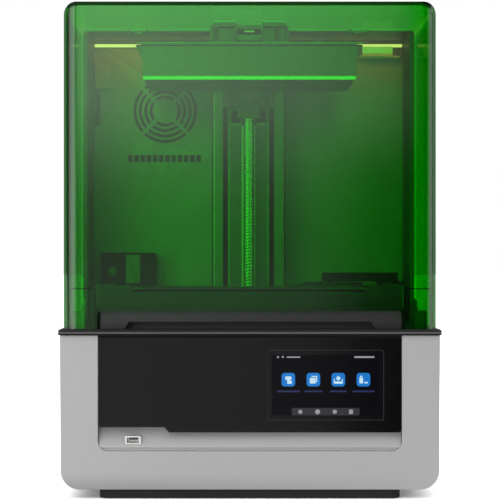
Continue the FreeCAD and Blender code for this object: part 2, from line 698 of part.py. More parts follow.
def camera_module():
    """Small box under the lamp bar at the right, with a lens barrel."""
    case = rounded(box(181.5, 230, 146, BACK_WALL, 654.8, 668.8), Y_AXIS, 2)
    ledge = box(178, 242, 150, BACK_WALL, 652.6, 654.8)
    barrel = rod(4.2, (205.7, 142, 661.8), 5, Y_AXIS)
    return join(case, ledge, barrel)


def carbon_filter():
    case = box(FAN_X - 60, FAN_X + 60, 201.5, 213.5, FAN_Z - 60, FAN_Z + 60)
    cells = []
    for column in range(10):
        x = FAN_X - 49.5 + column * 11
        cells.append(box(x - 4, x + 4, 201, 214, FAN_Z - 54, FAN_Z + 54))
    return case.cut(Part.makeCompound(cells))


def hinge_base_leaves():
    """Fixed leaves on the housing's top, with end barrels and the pins pressed into them."""
    parts = []
    for side in (-1, 1):
        x0 = side * HINGE_X - HINGE_LENGTH / 2
        leaf = box(x0, x0 + HINGE_LENGTH, HINGE_Y + 4.4, HINGE_Y + 30, HOUSING_TOP, HOUSING_TOP + 2)
        pieces = [rod(PIN_R, (x0, HINGE_Y, HINGE_Z), HINGE_LENGTH, X_AXIS)]
        for start in (x0, x0 + HINGE_LENGTH - HINGE_END):
            pieces.append(rod(BARREL_R, (start, HINGE_Y, HINGE_Z), HINGE_END, X_AXIS))
            pieces.append(box(start, start + HINGE_END, HINGE_Y, HINGE_Y + 5, HOUSING_TOP, HOUSING_TOP + 2))
        parts.append(join(leaf, *pieces))
    return parts


def hinge_cover_leaves():
    parts = []
    width = HINGE_LENGTH - 2 * HINGE_END - 2 * GAP
    for side in (-1, 1):
        x0 = side * HINGE_X - width / 2
        top = TOTAL_HEIGHT - COVER_WALL
        web = box(x0, x0 + width, 45, HINGE_Y, top - 1.6, top)
        leaf = box(side * HINGE_X - 12, side * HINGE_X + 12, 41, 53, top - 1.6, top)
        barrel = rod(BARREL_R, (x0, HINGE_Y, HINGE_Z), width, X_AXIS)
        bore = rod(PIN_R + RUNNING, (x0 - 1, HINGE_Y, HINGE_Z), width + 2, X_AXIS)
        parts.append(join(web, leaf, barrel).cut(bore))
    return parts


# ---- resin feed -----------------------------------------------------------------------------------
def feed_pump():
    """Pump box on the back wall at the left, with a sight window and a round fitting."""
    case = box(-234.6, -147.3, 138, BACK_WALL, SHELF_TOP + 0.2, 340.4)
    case = rounded(case, Y_AXIS, 4, lambda c: c.x > -150)
    window = rounded(box(-194.5, -172, 133, 140, 292, 337), Y_AXIS, 2)
    fitting = rod(6.4, (-216.2, 130, 311), 9, Y_AXIS)
    return join(case, window, fitting)


def feed_head():
    """Feed bar over the right-hand shelf, with a nozzle leg and a mounting foot."""
    bar = rounded(box(116.6, 235.4, 116, 140, 295.5, 309), X_AXIS, 2)
    leg = rod(3.2, (127.6, 124, SHELF_TOP + 0.2), 10)
    foot = box(203.8, 243.4, 114, 142, SHELF_TOP + 0.2, 295.5)
    return join(bar, leg, foot)


# ---- hood -------------------------------------------------------------------------------------------
def hood_body(inset):
    """The hood's outline drawn in by inset: round upright front edges and round top side edges."""
    half = COVER_X - inset
    front = COVER_FRONT + inset
    radius = COVER_RADIUS - inset
    low = COVER_BOTTOM - inset
    block = wide(half, front, COVER_REAR + inset, low, TOTAL_HEIGHT - inset)
    across = rounded(block, Y_AXIS, radius, lambda c: c.z > TOTAL_HEIGHT - inset - 1)
    upright = rounded(block, Z_AXIS, radius, lambda c: c.y < front + 1)
    return across.common(upright)


def cover_shell():
    """Translucent hood: front, sides and top in one moulding, open at the back and below."""
    shell = hood_body(0).cut(hood_body(COVER_WALL))
    hand = wide(CUTOUT_X, COVER_FRONT - 1, COVER_FRONT + COVER_WALL + 1, COVER_BOTTOM - 1, CUTOUT_TOP)
    shell = shell.cut(rounded(hand, Y_AXIS, 7, lambda c: c.z > CUTOUT_TOP - 1))
    for side in (-1, 1):
        x0 = side * HINGE_X - HINGE_LENGTH / 2 - 0.5
        shell = shell.cut(box(x0, x0 + HINGE_LENGTH + 1, 54, COVER_REAR + 1, 670, 690))
    lining = hood_body(COVER_WALL - 0.1).cut(hood_body(COVER_WALL + 0.8))
    reach = box(GRIP_X + 1, COVER_X, COVER_FRONT, -194, COVER_BOTTOM, 289.6)
    pads = [lining.common(reach), lining.common(mirrored(reach))]
    return join(shell, *pads)


# ---- all sub-parts ------------------------------------------------------------------------------------
def main():
    save("foot_plinth", foot_plinth())
    save("rubber_feet", *rubber_feet())
    save("base_shell", base_shell())
    save("base_rear_cover", base_rear_cover())
    save("power_inlet", power_inlet())
    save("power_rocker", power_rocker())
    save("front_bezel", front_bezel())
    save("front_fascia", front_fascia())
    save("touch_screen", touch_screen())
    save("usb_port", usb_port())
    save("deck_plate", deck_plate())
    save("grip_panel", grip_panel())
    save("bay_surround", bay_surround())
    save("rear_shelf", *rear_shelf())
    save("cover_guides", *cover_guides())
    save("lcd_frame", lcd_frame())
    save("mask_lcd", mask_lcd())
    save("light_engine_housing", light_engine_housing())
    save("uv_led_array", uv_led_array())
    save("heat_sink", heat_sink())
    save("mainboard", mainboard())
    save("power_supply", power_supply())
    base_fan_front = LIP_Y - LIP_OVERHANG - SHEET - FAN_DEPTH - 0.2
    save("base_fan_frame", fan_frame(BASE_FAN_X, BASE_FAN_Z, BASE_FAN_SIZE, base_fan_front))
    save("base_fan_rotor", fan_rotor(BASE_FAN_X, BASE_FAN_Z, BASE_FAN_SIZE, base_fan_front))
    save("chamber_fan_frame", fan_frame(FAN_X, FAN_Z, CHAMBER_FAN_SIZE, BACK_WALL + 3.2))
    save("chamber_fan_rotor", fan_rotor(FAN_X, FAN_Z, CHAMBER_FAN_SIZE, BACK_WALL + 3.2))
    save("z_motor", z_motor())
    save("motor_bracket", motor_bracket())
    save("upper_bearing_block", upper_bearing_block())
    save("column_frame", column_frame())
    save("column_strips", *column_strips())
    save("linear_rails", *linear_rails())
    save("rail_blocks", *rail_blocks())
    save("ball_screw", ball_screw())
    save("screw_coupler", screw_coupler())
    save("ball_nut", ball_nut())
    save("carriage_block", carriage_block())
    save("carriage_bolts", *carriage_bolts())
    save("platform_arm", platform_arm())
    save("clamp_receiver", clamp_receiver())
    save("lever_pin", lever_pin())
    save("clamp_lever", clamp_lever())
    save("platform_cap", platform_cap())
    save("build_plate", build_plate())
    save("levelling_screws", *levelling_screws())
    save("vat_tray", vat_tray())
    save("film_frame", film_frame())
    save("vat_knob_right", vat_knob())
    save("vat_knob_left", mirrored(vat_knob()))
    save("rear_housing", rear_housing())
    save("housing_rear_cover", housing_rear_cover())
    save("back_panel", back_panel())
    save("led_bar", led_bar())
    save("camera_module", camera_module())
    save("carbon_filter", carbon_filter())
    save("hinge_base_leaves", *hinge_base_leaves())
    save("hinge_cover_leaves", *hinge_cover_leaves())
    save("feed_pump", feed_pump())
    save("feed_head", feed_head())
    save("cover_shell", cover_shell())


main()
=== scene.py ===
import math

import bmesh
import bpy
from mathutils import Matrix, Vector


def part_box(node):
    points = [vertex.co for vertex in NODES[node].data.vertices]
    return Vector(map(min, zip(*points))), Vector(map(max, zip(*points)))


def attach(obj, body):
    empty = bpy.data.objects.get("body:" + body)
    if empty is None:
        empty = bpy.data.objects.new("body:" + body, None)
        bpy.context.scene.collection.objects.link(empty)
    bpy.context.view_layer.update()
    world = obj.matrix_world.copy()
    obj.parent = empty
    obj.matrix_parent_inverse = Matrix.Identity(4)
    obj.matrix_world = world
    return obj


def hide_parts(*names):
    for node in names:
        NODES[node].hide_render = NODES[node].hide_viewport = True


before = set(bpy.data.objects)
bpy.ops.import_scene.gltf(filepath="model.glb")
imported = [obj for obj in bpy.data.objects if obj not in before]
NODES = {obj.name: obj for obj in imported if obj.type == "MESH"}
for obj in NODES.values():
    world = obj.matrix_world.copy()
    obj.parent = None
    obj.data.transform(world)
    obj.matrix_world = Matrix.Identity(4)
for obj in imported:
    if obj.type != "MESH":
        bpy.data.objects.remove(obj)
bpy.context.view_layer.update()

# Pieces are placed and sized in millimetres; materials, lights and the camera in metres.
MM = 0.001


def box_mm(name):
    """The lower and upper corners of a CAD node's box, in millimetres."""
    return [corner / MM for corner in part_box(name)]


# ---- colour helpers
def linear(red, green, blue):
    """An 8-bit display colour as scene-linear RGBA."""
    def channel(value):
        value /= 255.0
        return value / 12.92 if value <= 0.04045 else ((value + 0.055) / 1.055) ** 2.4
    return (channel(red), channel(green), channel(blue), 1.0)


def grey(value):
    """A scene-linear grey."""
    return (value, value, value, 1.0)


def shade(colour, factor):
    """A colour made lighter or darker."""
    return tuple(min(1.0, channel * factor) for channel in colour[:3]) + (1.0,)


# ---- node trees
class Nodes:
    """Short ways to add and join the nodes of a material or of the world."""

    def __init__(self, owner):
        owner.use_nodes = True
        self.tree = owner.node_tree
        self.tree.nodes.clear()
        self.coords = self.node("ShaderNodeTexCoord")

    def node(self, kind, **values):
        node = self.tree.nodes.new(kind)
        for key, value in values.items():
            setattr(node, key, value)
        return node

    def feed(self, socket, value):
        """Set a socket to a plain value, or link another node's output to it."""
        if isinstance(value, (float, tuple)):
            socket.default_value = value
        else:
            self.tree.links.new(value, socket)

    def axes(self, output="Object"):
        """The X, Y and Z of a texture coordinate."""
        split = self.node("ShaderNodeSeparateXYZ")
        self.feed(split.inputs[0], self.coords.outputs[output])
        return split.outputs

    def maths(self, operation, first, second=0.0):
        node = self.node("ShaderNodeMath", operation=operation)
        self.feed(node.inputs[0], first)
        self.feed(node.inputs[1], second)
        return node.outputs[0]

    def ranged(self, source, low, high, from_low=0.3, from_high=0.7, blend="LINEAR"):
        """The source's from_low to from_high as low to high, held at both ends."""
        node = self.node("ShaderNodeMapRange", interpolation_type=blend)
        node.inputs["From Min"].default_value = from_low
        node.inputs["From Max"].default_value = from_high
        node.inputs["To Min"].default_value = low
        node.inputs["To Max"].default_value = high
        self.feed(node.inputs["Value"], source)
        return node.outputs[0]

    def ramp(self, source, stops):
        """A colour read off a row of (place, colour) stops."""
        node = self.node("ShaderNodeValToRGB")
        elements = node.color_ramp.elements
        while len(elements) < len(stops):
            elements.new(0.5)
        for element, (place, colour) in zip(elements, stops):
            element.position = place
            element.color = colour
        self.feed(node.inputs[0], source)
        return node.outputs[0]

    def curve(self, source, stops, top=1.0):
        """Piecewise straight lines through (value, level) stops, as a share of top."""
        start, end = stops[0][0], stops[-1][0]
        shares = [((place - start) / (end - start), grey(level / top)) for place, level in stops]
        return self.ramp(self.ranged(source, 0.0, 1.0, start, end), shares)


class Surface(Nodes):
    """A node material in the making: one Principled shader and helpers that feed it."""

    def __init__(self, name):
        self.material = bpy.data.materials.new(name)
        super().__init__(self.material)
        self.output = self.node("ShaderNodeOutputMaterial")
        self.shader = self.node("ShaderNodeBsdfPrincipled")
        self.feed(self.output.inputs[0], self.shader.outputs[0])

    def set(self, name, value):
        self.feed(self.shader.inputs[name], value)

    def noise(self, scale, detail=3.0, stretch=None):
        texture = self.node("ShaderNodeTexNoise")
        texture.inputs["Scale"].default_value = scale
        texture.inputs["Detail"].default_value = detail
        texture.inputs["Roughness"].default_value = 0.55
        source = self.coords.outputs["Object"]
        if stretch:
            mapping = self.node("ShaderNodeMapping")
            mapping.inputs["Scale"].default_value = stretch
            self.feed(mapping.inputs["Vector"], source)
            source = mapping.outputs[0]
        self.feed(texture.inputs["Vector"], source)
        return texture.outputs["Fac"]

    def mixed(self, factor, first, second):
        node = self.node("ShaderNodeMix", data_type="RGBA")
        self.feed(node.inputs["Factor"], factor)
        for name, value in (("A", first), ("B", second)):
            socket = [s for s in node.inputs if s.name == name and s.type == "RGBA"][0]
            self.feed(socket, value)
        return [s for s in node.outputs if s.type == "RGBA"][0]

    def bump(self, height, strength, distance):
        node = self.node("ShaderNodeBump")
        node.inputs["Strength"].default_value = strength
        node.inputs["Distance"].default_value = distance
        self.feed(node.inputs["Height"], height)
        return node.outputs[0]


# ---- finishes
# Materials by the slot names that the CAD nodes have, and a few more for the pieces made here.
MAT = {}
SLOW_SCALE, BLOTCH_SCALE = 9.0, 38.0
# The pointiness from which an edge is rubbed, and how much lighter paint and metal get there.
RUBBED, PAINT_RUB, METAL_RUB = (0.53, 0.62), 0.9, 0.3
# Widths over which the edges of the painted shadow and of the painted highlight line blur.
SHADOW_BLUR, HIGHLIGHT_BLUR = 0.03, 0.0001


def finish(slot, name, colour, roughness, metallic=0.0, grain=0.3, grain_size=0.5, mottle=0.06,
           spread=0.07, coat=0.0, specular=0.5, brushed=None, wear=0.25, relief=0.05, painted_shade=None,
           painted_falloff=None, painted_highlight_line=None, painted_shadow=None):
    """Paint, moulding or metal: a fine grain in millimetres, slow tone changes and rubbed edges.

    dusk = (height, depth, level): painted shade, the tone sinks to level over the last depth below
    height.
    sweep = (x from, x to, level): painted light falloff, the tone sinks to level from left to right.
    patch = (x half width, z from, z to, level): painted shadow, the tone sinks to level up the middle.
    stripe = (z from, z to, colour, colour above): a painted highlight line across the part, and the tone
    above it.
    """
    s = Surface(name)
    place = s.axes()
    x, z = place["X"], place["Z"]
    slow = s.ranged(s.noise(SLOW_SCALE, 4.0), 0.0, 1.0)
    tone = s.mixed(slow, shade(colour, 1.0 - mottle), shade(colour, 1.0 + mottle))
    rubbed = s.ranged(s.node("ShaderNodeNewGeometry").outputs["Pointiness"], 0.0, wear, *RUBBED)
    tone = s.mixed(rubbed, tone, shade(colour, 1.0 + (PAINT_RUB if metallic < 0.5 else METAL_RUB)))
    if painted_shade:
        height, depth, level = painted_shade
        tone = s.mixed(s.ranged(z, 1.0, 0.0, height - depth, height), tone, shade(colour, level))
    if painted_falloff:
        start, end, level = painted_falloff
        tone = s.mixed(s.ranged(x, 0.0, 1.0, start, end), tone, shade(colour, level))
    if painted_shadow:
        half, start, end, level = painted_shadow
        middle = s.ranged(s.maths("ABSOLUTE", x), 1.0, 0.0, half - SHADOW_BLUR, half)
        painted_shadow_mask = s.maths("MULTIPLY", middle, s.ranged(z, 0.0, 1.0, start, end))
        tone = s.mixed(painted_shadow_mask, tone, shade(colour, level))
    if painted_highlight_line:
        start, end, face_strip, above = painted_highlight_line
        upper = s.mixed(s.ranged(z, 0.0, 1.0, end - HIGHLIGHT_BLUR, end + HIGHLIGHT_BLUR), face_strip, above)
        tone = s.mixed(s.ranged(z, 0.0, 1.0, start - HIGHLIGHT_BLUR, start + HIGHLIGHT_BLUR), tone, upper)
    s.set("Base Color", tone)
    blotch = s.noise(BLOTCH_SCALE, 5.0, stretch=brushed)
    s.set("Roughness", s.ranged(blotch, roughness - spread, roughness + spread))
    fine = s.noise(1.0 / (grain_size * MM), 2.0, stretch=brushed)
    s.set("Normal", s.bump(fine, grain, relief * MM))
    s.set("Metallic", metallic)
    s.set("Specular IOR Level", specular)
    s.set("Coat Weight", coat)
    s.set("Coat Roughness", 0.05)
    MAT[slot] = s.material


def lit(slot, name, colour, strength, gloss=0.3, specular=0.5):
    """A part that gives light, or glows as a painted highlight, with a slight unevenness over its face.
    """
    s = Surface(name)
    flicker = s.ranged(s.noise(60.0, 2.0), 0.0, 1.0)
    s.set("Emission Color", s.mixed(flicker, shade(colour, 0.92), shade(colour, 1.05)))
    s.set("Base Color", s.mixed(0.5, shade(colour, 0.02), grey(0.002)))
    s.set("Emission Strength", strength)
    s.set("Roughness", gloss)
    s.set("Specular IOR Level", specular)
    MAT[slot] = s.material


# The hood: tinted see-through plastic. Both faces of each wall tint what is behind them and mirror
# a little. The wall is nearly opaque where it is seen end-on, along its rounded upright edges and
# in the bar of solid plastic along its top front edge. The tints go by how far a face turns away.
HOOD_TINTS = ((0.0, (0.21, 0.79, 0.20, 1)), (0.70, (0.19, 0.76, 0.18, 1)), (0.85, (0.13, 0.68, 0.12, 1)),
              (0.91, (0.09, 0.46, 0.08, 1)), (1.0, (0.03, 0.30, 0.03, 1)))
HOOD_END_TINT = (0.01, 0.06, 0.01, 1.0)
HOOD_RADIUS, HOOD_WALL, HOOD_BAR = 0.019, 0.004, 0.0055
# How far the tint of the round upright corners goes to the end-on tint, by how far they turn away.
# The left and right corners differ only as painted light and shade, the light falling differently on
# each side.
CORNER_LEFT = ((0.0, 0.0), (0.05, 0.26), (0.15, 0.36), (0.25, 0.52), (0.4, 0.75))
CORNER_RIGHT = ((0.0, 0.0), (0.05, 0.12), (0.15, 0.16), (0.25, 0.28), (0.4, 0.85))
# The thicker pads inside the lower front corners: their edge lines, and how dark those are.
PAD_X, PAD_TOP, PAD_REAR, PAD_LINE, PAD_DARK = 0.2135, 0.2896, -0.194, 0.0005, 0.8
# Widths over which the bar, the wall's inside, the corners and the pads' lines fade out.
BAR_BLUR, WALL_BLUR, CORNER_BLUR, LINE_BLUR = 0.0004, 0.0002, 0.0006, 0.0003
# The share of light mirrored face-on and edge-on, what the bar keeps of it, and the roughness.
HOOD_MIRROR, BAR_MIRROR, HOOD_ROUGHNESS = (0.048, 0.15), 0.12, (0.015, 0.045)


def hood_material():
    s = Surface("hood_plastic")
    s.tree.nodes.remove(s.shader)
    low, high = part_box("cover_shell")
    x, y, z = s.axes()
    side = s.maths("ABSOLUTE", x)
    layer = s.node("ShaderNodeLayerWeight")
    layer.inputs["Blend"].default_value = 0.5
    facing = layer.outputs["Facing"]

    def beyond(value, limit):
        return s.maths("MAXIMUM", s.maths("SUBTRACT", value, limit), 0.0)

    def both(first, second):
        return s.maths("MULTIPLY", first, second)

    def either(first, second):
        return s.maths("MAXIMUM", first, second)

    def corner_ramp(stops):
        return s.ramp(facing, [(place, grey(level)) for place, level in stops])

    def line(value, middle):
        away = s.maths("ABSOLUTE", s.maths("SUBTRACT", value, middle))
        return s.ranged(away, 1.0, 0.0, PAD_LINE, PAD_LINE + LINE_BLUR)

    into_side = beyond(side, high.x - HOOD_RADIUS)
    into_top = beyond(z, high.z - HOOD_RADIUS)
    squares = s.maths("ADD", s.maths("POWER", into_side, 2.0), s.maths("POWER", into_top, 2.0))
    rim = HOOD_RADIUS - HOOD_BAR
    in_wall = s.ranged(s.maths("SQRT", squares), 0.0, 1.0, rim, rim + BAR_BLUR)
    wall_back, corner_back = low.y + HOOD_WALL, low.y + HOOD_RADIUS
    bar = both(in_wall, s.ranged(y, 1.0, 0.0, wall_back - WALL_BLUR, wall_back))
    round_side = s.ranged(into_side, 0.0, 1.0, 0.0, CORNER_BLUR)
    round_front = s.ranged(y, 1.0, 0.0, corner_back - CORNER_BLUR, corner_back)
    right = s.ranged(x, 0.0, 1.0, -0.01, 0.01)
    turned = s.mixed(right, corner_ramp(CORNER_LEFT), corner_ramp(CORNER_RIGHT))
    corner = both(both(round_side, round_front), turned)
    outside = s.ranged(side, 0.0, 1.0, PAD_X - PAD_LINE, PAD_X)
    under = s.ranged(z, 1.0, 0.0, PAD_TOP, PAD_TOP + PAD_LINE)
    ahead = s.ranged(y, 1.0, 0.0, PAD_REAR, PAD_REAR + PAD_LINE)
    pad = either(both(line(z, PAD_TOP), outside), both(line(side, PAD_X), under))
    pad = both(both(pad, ahead), PAD_DARK)
    tint = s.mixed(either(either(bar, corner), pad), s.ramp(facing, HOOD_TINTS), HOOD_END_TINT)
    through = s.node("ShaderNodeBsdfTransparent")
    s.feed(through.inputs[0], tint)
    gloss = s.node("ShaderNodeBsdfGlossy")
    gloss.inputs["Color"].default_value = grey(0.95)
    s.feed(gloss.inputs["Roughness"], s.ranged(s.noise(14.0), *HOOD_ROUGHNESS))
    s.feed(gloss.inputs["Normal"], s.bump(s.noise(5.0, 1.0), 0.1, 0.5 * MM))
    mirror = s.ranged(s.maths("POWER", facing, 5.0), *HOOD_MIRROR, 0.0, 1.0)
    mix = s.node("ShaderNodeMixShader")
    s.feed(mix.inputs[0], both(mirror, s.ranged(bar, 1.0, BAR_MIRROR, 0.0, 1.0)))
    s.feed(mix.inputs[1], through.outputs[0])
    s.feed(mix.inputs[2], gloss.outputs[0])
    s.feed(s.output.inputs[0], mix.outputs[0])
    MAT["hood_green"] = s.material


# Painted light falloff: in these sets the tone darkens from left to right, as the light falls from the
# left.
BASE_PAINT = dict(grain=0.25, grain_size=0.7, mottle=0.012, relief=0.03, wear=0.1, specular=0.35,
                  painted_falloff=(-0.2, 0.26, 0.94))
GRIP = dict(grain_size=0.7, specular=0.12, painted_falloff=(-0.2, 0.2, 0.7))
STRIP_METAL = dict(metallic=0.2, grain=0.25, brushed=(18, 18, 1), mottle=0.04,
                   painted_falloff=(0.0, 0.1, 0.9))
PLATFORM_METAL = dict(metallic=0.2, mottle=0.04, painted_falloff=(-0.15, 0.2, 0.75))

# Feet, base and front
finish("rubber", "rubber_feet", grey(0.02), 0.85, grain=0.5, grain_size=0.9)
finish("plinth_black", "plinth_moulding", grey(0.008), 0.7, grain=0.5, grain_size=0.8,
       specular=0.15)
# Painted shade: the base paint darkens towards its bottom edge, by the floor.
finish("base_grey", "base_paint", (0.240, 0.240, 0.239, 1), 0.42, painted_shade=(0.034, 0.022, 0.68),
       **BASE_PAINT)
finish("rear_cover_grey", "rear_cover_paint", grey(0.33), 0.5, mottle=0.03, relief=0.04, grain=0.35)
# Painted shade: the bezel paint darkens upward into the recess under the fascia.
finish("bezel_grey", "bezel_paint", (0.240, 0.240, 0.239, 1), 0.42, painted_shade=(0.072, -0.024, 0.58),
       **BASE_PAINT)
finish("fascia_black", "fascia_gloss", grey(0.0016), 0.05, grain=0.02, mottle=0.2, spread=0.02,
       wear=0.0, relief=0.004)
finish("screen", "screen_glass", (0.0016, 0.0016, 0.0022, 1), 0.05, grain=0.01, mottle=0.1,
       spread=0.015, wear=0.0, relief=0.002)
finish("connector_metal", "connector_plate", grey(0.55), 0.3, metallic=1.0, grain=0.1)
# Deck, bay and hood guides
# Painted highlight: a light line along the deck's lip, where its upright face catches the light, and a
# slightly lighter tone above it.
finish("deck_black", "deck_paint", grey(0.006), 0.6, grain_size=0.7, specular=0.08, wear=0.0,
       painted_highlight_line=(0.2280, 0.2301, grey(0.062), grey(0.008)))
# Painted light falloff: the bay darkens steeply to the right.
finish("bay_dark", "bay_moulding", grey(0.034), 0.5, grain_size=0.7, painted_falloff=(0.0, 0.2, 0.3))
finish("grip_dark", "grip_moulding", grey(0.020), 0.6, **GRIP)
# Painted light: a lighter copy of the grip moulding inside its finger recess.
finish("grip_pale", "grip_recess_painted_light", grey(0.045), 0.6, **GRIP)
finish("guide_grey", "guide_moulding", grey(0.35), 0.45)
finish("guide_dark", "guide_shaded", grey(0.05), 0.5)
finish("channel_grey", "channel_moulding", grey(0.05), 0.45)
finish("rail_dark", "rail_blackened", grey(0.03), 0.35, metallic=0.6, grain=0.2)
# Lines and fine parts
finish("groove_black", "groove_shadow", grey(0.004), 0.8, grain=0.2, specular=0.05)
# Painted highlights: light metal strips on rims and edges where they catch the light, and the glint in
# the pump's fitting.
finish("edge_highlight", "painted_highlight_edges", grey(0.75), 0.3, metallic=0.5, grain=0.1)
# Painted highlight: a lighter copy of the clamp's finish on its top front chamfer, which faces the
# light.
finish("clamp_chamfer_highlight", "clamp_chamfer_painted_highlight", grey(0.34), 0.35, metallic=0.3, grain=0.2)
finish("clamp_shade", "clamp_shade", grey(0.07), 0.45, metallic=0.2, grain=0.2, wear=0.0)
finish("clamp_back", "clamp_back", grey(0.62), 0.5, grain=0.2, wear=0.0)
# Painted light: a lighter copy of the lever's moulding for its lower front face.
finish("lever_pale", "lever_lower_face_painted_light", grey(0.24), 0.4, grain=0.2)
# Painted highlight: the lever's slot glows, though it is no lamp.
lit("lever_slot_glow_highlight", "lever_slot", (0.9, 0.62, 0.5, 1), 1.0)
finish("pump_window", "pump_window", grey(0.22), 0.25, grain=0.2, coat=0.5)
finish("pump_ring", "pump_ring", grey(0.30), 0.3, metallic=0.8, grain=0.2)
# Mask screen, electrics and drives
finish("frame_black", "screen_frame", grey(0.02), 0.4)
finish("lcd_glass", "mask_glass", (0.01, 0.012, 0.02, 1), 0.06, grain=0.02, spread=0.02)
finish("circuit_board", "circuit_board", (0.01, 0.09, 0.03, 1), 0.4)
finish("bare_aluminium", "bare_aluminium", grey(0.6), 0.35, metallic=1.0, grain=0.2,
       brushed=(1, 1, 30))
finish("supply_case", "supply_case", grey(0.5), 0.4, metallic=1.0)
finish("inlet_black", "inlet_moulding", grey(0.02), 0.45)
finish("rocker_red", "rocker_red", (0.45, 0.02, 0.015, 1), 0.35, grain=0.2)
finish("fan_black", "fan_moulding", grey(0.025), 0.45)
finish("motor_black", "motor_paint", grey(0.03), 0.4)
# Column and lift
finish("column_dark", "column_anodised", grey(0.045), 0.4, metallic=0.3, grain=0.2)
finish("strip_grey", "column_strips", grey(0.25), 0.42, **STRIP_METAL)
finish("strip_inner", "column_inner", grey(0.16), 0.42, **STRIP_METAL)
# Painted highlights: the white strips beside the screw stand for the lit edges of its slot.
finish("screw_highlight_white", "slot_edge_highlight", grey(0.95), 0.4, grain=0.1, wear=0.0)
finish("ground_steel", "ground_steel", grey(0.62), 0.16, metallic=1.0, grain=0.08,
       brushed=(1, 1, 12), spread=0.05)
finish("nut_dark", "nut_steel", grey(0.22), 0.35, metallic=0.8, grain=0.2)
MAT["coupler_aluminium"] = MAT["bare_aluminium"]
finish("carriage_grey", "carriage_anodised", grey(0.115), 0.38, metallic=0.3, grain=0.25)
finish("clamp_grey", "clamp_anodised", grey(0.18), 0.36, metallic=0.3, grain=0.25)
finish("lever_black", "lever_moulding", grey(0.14), 0.4)
# Platform and vat
finish("platform_grey", "platform_anodised", grey(0.20), 0.38, **PLATFORM_METAL)
finish("plate_face", "plate_sides", grey(0.19), 0.38, **PLATFORM_METAL)
# Painted light falloff: the plate's underside darkens to the right.
finish("plate_under", "plate_ground_face", grey(0.08), 0.34, metallic=1.0, grain=0.5,
       grain_size=0.8, brushed=(1, 14, 1), painted_falloff=(0.0, 0.2, 0.4))
finish("vat_metal", "vat_anodised", grey(0.10), 0.34, metallic=0.4, grain=0.25)
finish("film_clear", "vat_film", (0.35, 0.37, 0.4, 1), 0.12, grain=0.05, spread=0.03)
finish("knob_black", "knob_moulding", grey(0.05), 0.4)
# Rear housing and what hangs on it
# Painted light falloff: the housing darkens to the right.
finish("housing_grey", "housing_paint", grey(0.11), 0.5, grain=0.25, grain_size=0.7, mottle=0.03,
       relief=0.03, painted_falloff=(0.0, 0.24, 0.75))
finish("housing_cover", "housing_cover_paint", grey(0.12), 0.5, mottle=0.03, grain=0.35)
# Painted light and shade on the back wall: it darkens to the right, and a painted shadow of the platform
# darkens a band up its middle.
finish("wall_grey", "back_wall_paint", grey(0.37), 0.5, grain_size=0.7, mottle=0.03,
       painted_falloff=(0.0, 0.24, 0.82), painted_shadow=(0.16, 0.50, 0.585, 0.42))
finish("lamp", "lamp_holder", grey(0.12), 0.4)
lit("lamp_glow", "lamp_strip", (1.0, 0.105, 0.28, 1), 13.0)
lit("camera_glow", "camera_window", (1.0, 0.28, 0.25, 1), 2.6)
finish("camera_grey", "camera_moulding", grey(0.5), 0.4)
finish("filter_black", "filter_carbon", grey(0.015), 0.9, grain=0.9, grain_size=2.0)
finish("hinge_steel", "hinge_paint", grey(0.50), 0.45, grain=0.2)
finish("pump_black", "pump_moulding", grey(0.008), 0.5, specular=0.3)
finish("feed_black", "feed_moulding", grey(0.012), 0.5, specular=0.3)
# Hood
hood_material()
# Thread, screws, contacts and the plate's ground edge
finish("polished", "polished_band", grey(0.85), 0.10, metallic=1.0, grain=0.03, spread=0.03,
       wear=0.0)
finish("thread_steel", "thread_steel", grey(0.95), 0.28, metallic=0.75, grain=0.05, spread=0.05,
       wear=0.0)
finish("screw_head", "screw_head", grey(0.35), 0.3, metallic=1.0, grain=0.15)
finish("dark_screw", "black_screw", grey(0.06), 0.35, metallic=0.7, grain=0.2)
finish("tongue", "port_tongue", grey(0.03), 0.5, grain=0.2)
finish("contact", "contact_gold", (0.7, 0.45, 0.12, 1), 0.25, metallic=1.0, grain=0.1)
# Touch screen page
lit("ui_tile", "screen_tile", linear(24, 118, 200), 1.0, 0.08)
lit("ui_glyph", "screen_glyph", linear(196, 226, 238), 1.0, 0.08)
lit("ui_label", "screen_label", linear(38, 44, 84), 1.0, 0.08)
lit("ui_mark", "screen_mark", linear(150, 150, 156), 1.0, 0.08)
lit("ui_bar", "screen_bar", linear(48, 48, 54), 1.0, 0.08)
lit("ui_page", "screen_page", linear(4, 4, 9), 1.0, 0.08, 0.22)

# ---- CAD nodes: material by slot, softened edges
# Radius of each node's rounded edges, in millimetres.
SOFT_EDGE = {
    "base_shell": 0.8, "front_fascia": 0.5, "grip_panel": 0.6, "front_bezel": 0.5,
    "bay_surround": 0.8, "rear_shelf": 0.6, "cover_guides": 0.5, "platform_cap": 0.9,
    "build_plate": 0.5, "rear_housing": 0.7, "back_panel": 0.4, "camera_module": 0.5,
    "feed_pump": 0.7, "feed_head": 0.6, "vat_tray": 0.7, "clamp_receiver": 0.7, "clamp_lever": 0.7,
    "carriage_block": 0.7, "column_frame": 0.5, "column_strips": 0.5, "foot_plinth": 0.8,
    "power_inlet": 0.5, "power_rocker": 0.4, "upper_bearing_block": 0.5, "lcd_frame": 0.4,
    "platform_arm": 0.6, "ball_nut": 0.5,
}
OTHER_EDGE = 0.3
# Nodes that are left as the CAD made them: the hood, and parts pierced by openings.
KEEP_AS_IS = {"cover_shell", "film_frame", "mask_lcd", "housing_rear_cover", "base_rear_cover",
              "deck_plate", "carbon_filter", "power_supply"}
OWN_MATERIAL = {"linear_rails": "rail_dark", "hinge_base_leaves": "housing_cover"}
WELD_GAP, FLAT_ANGLE, EDGE_ANGLE, SHADE_WEIGHT = 0.002, 0.4, 32, 90
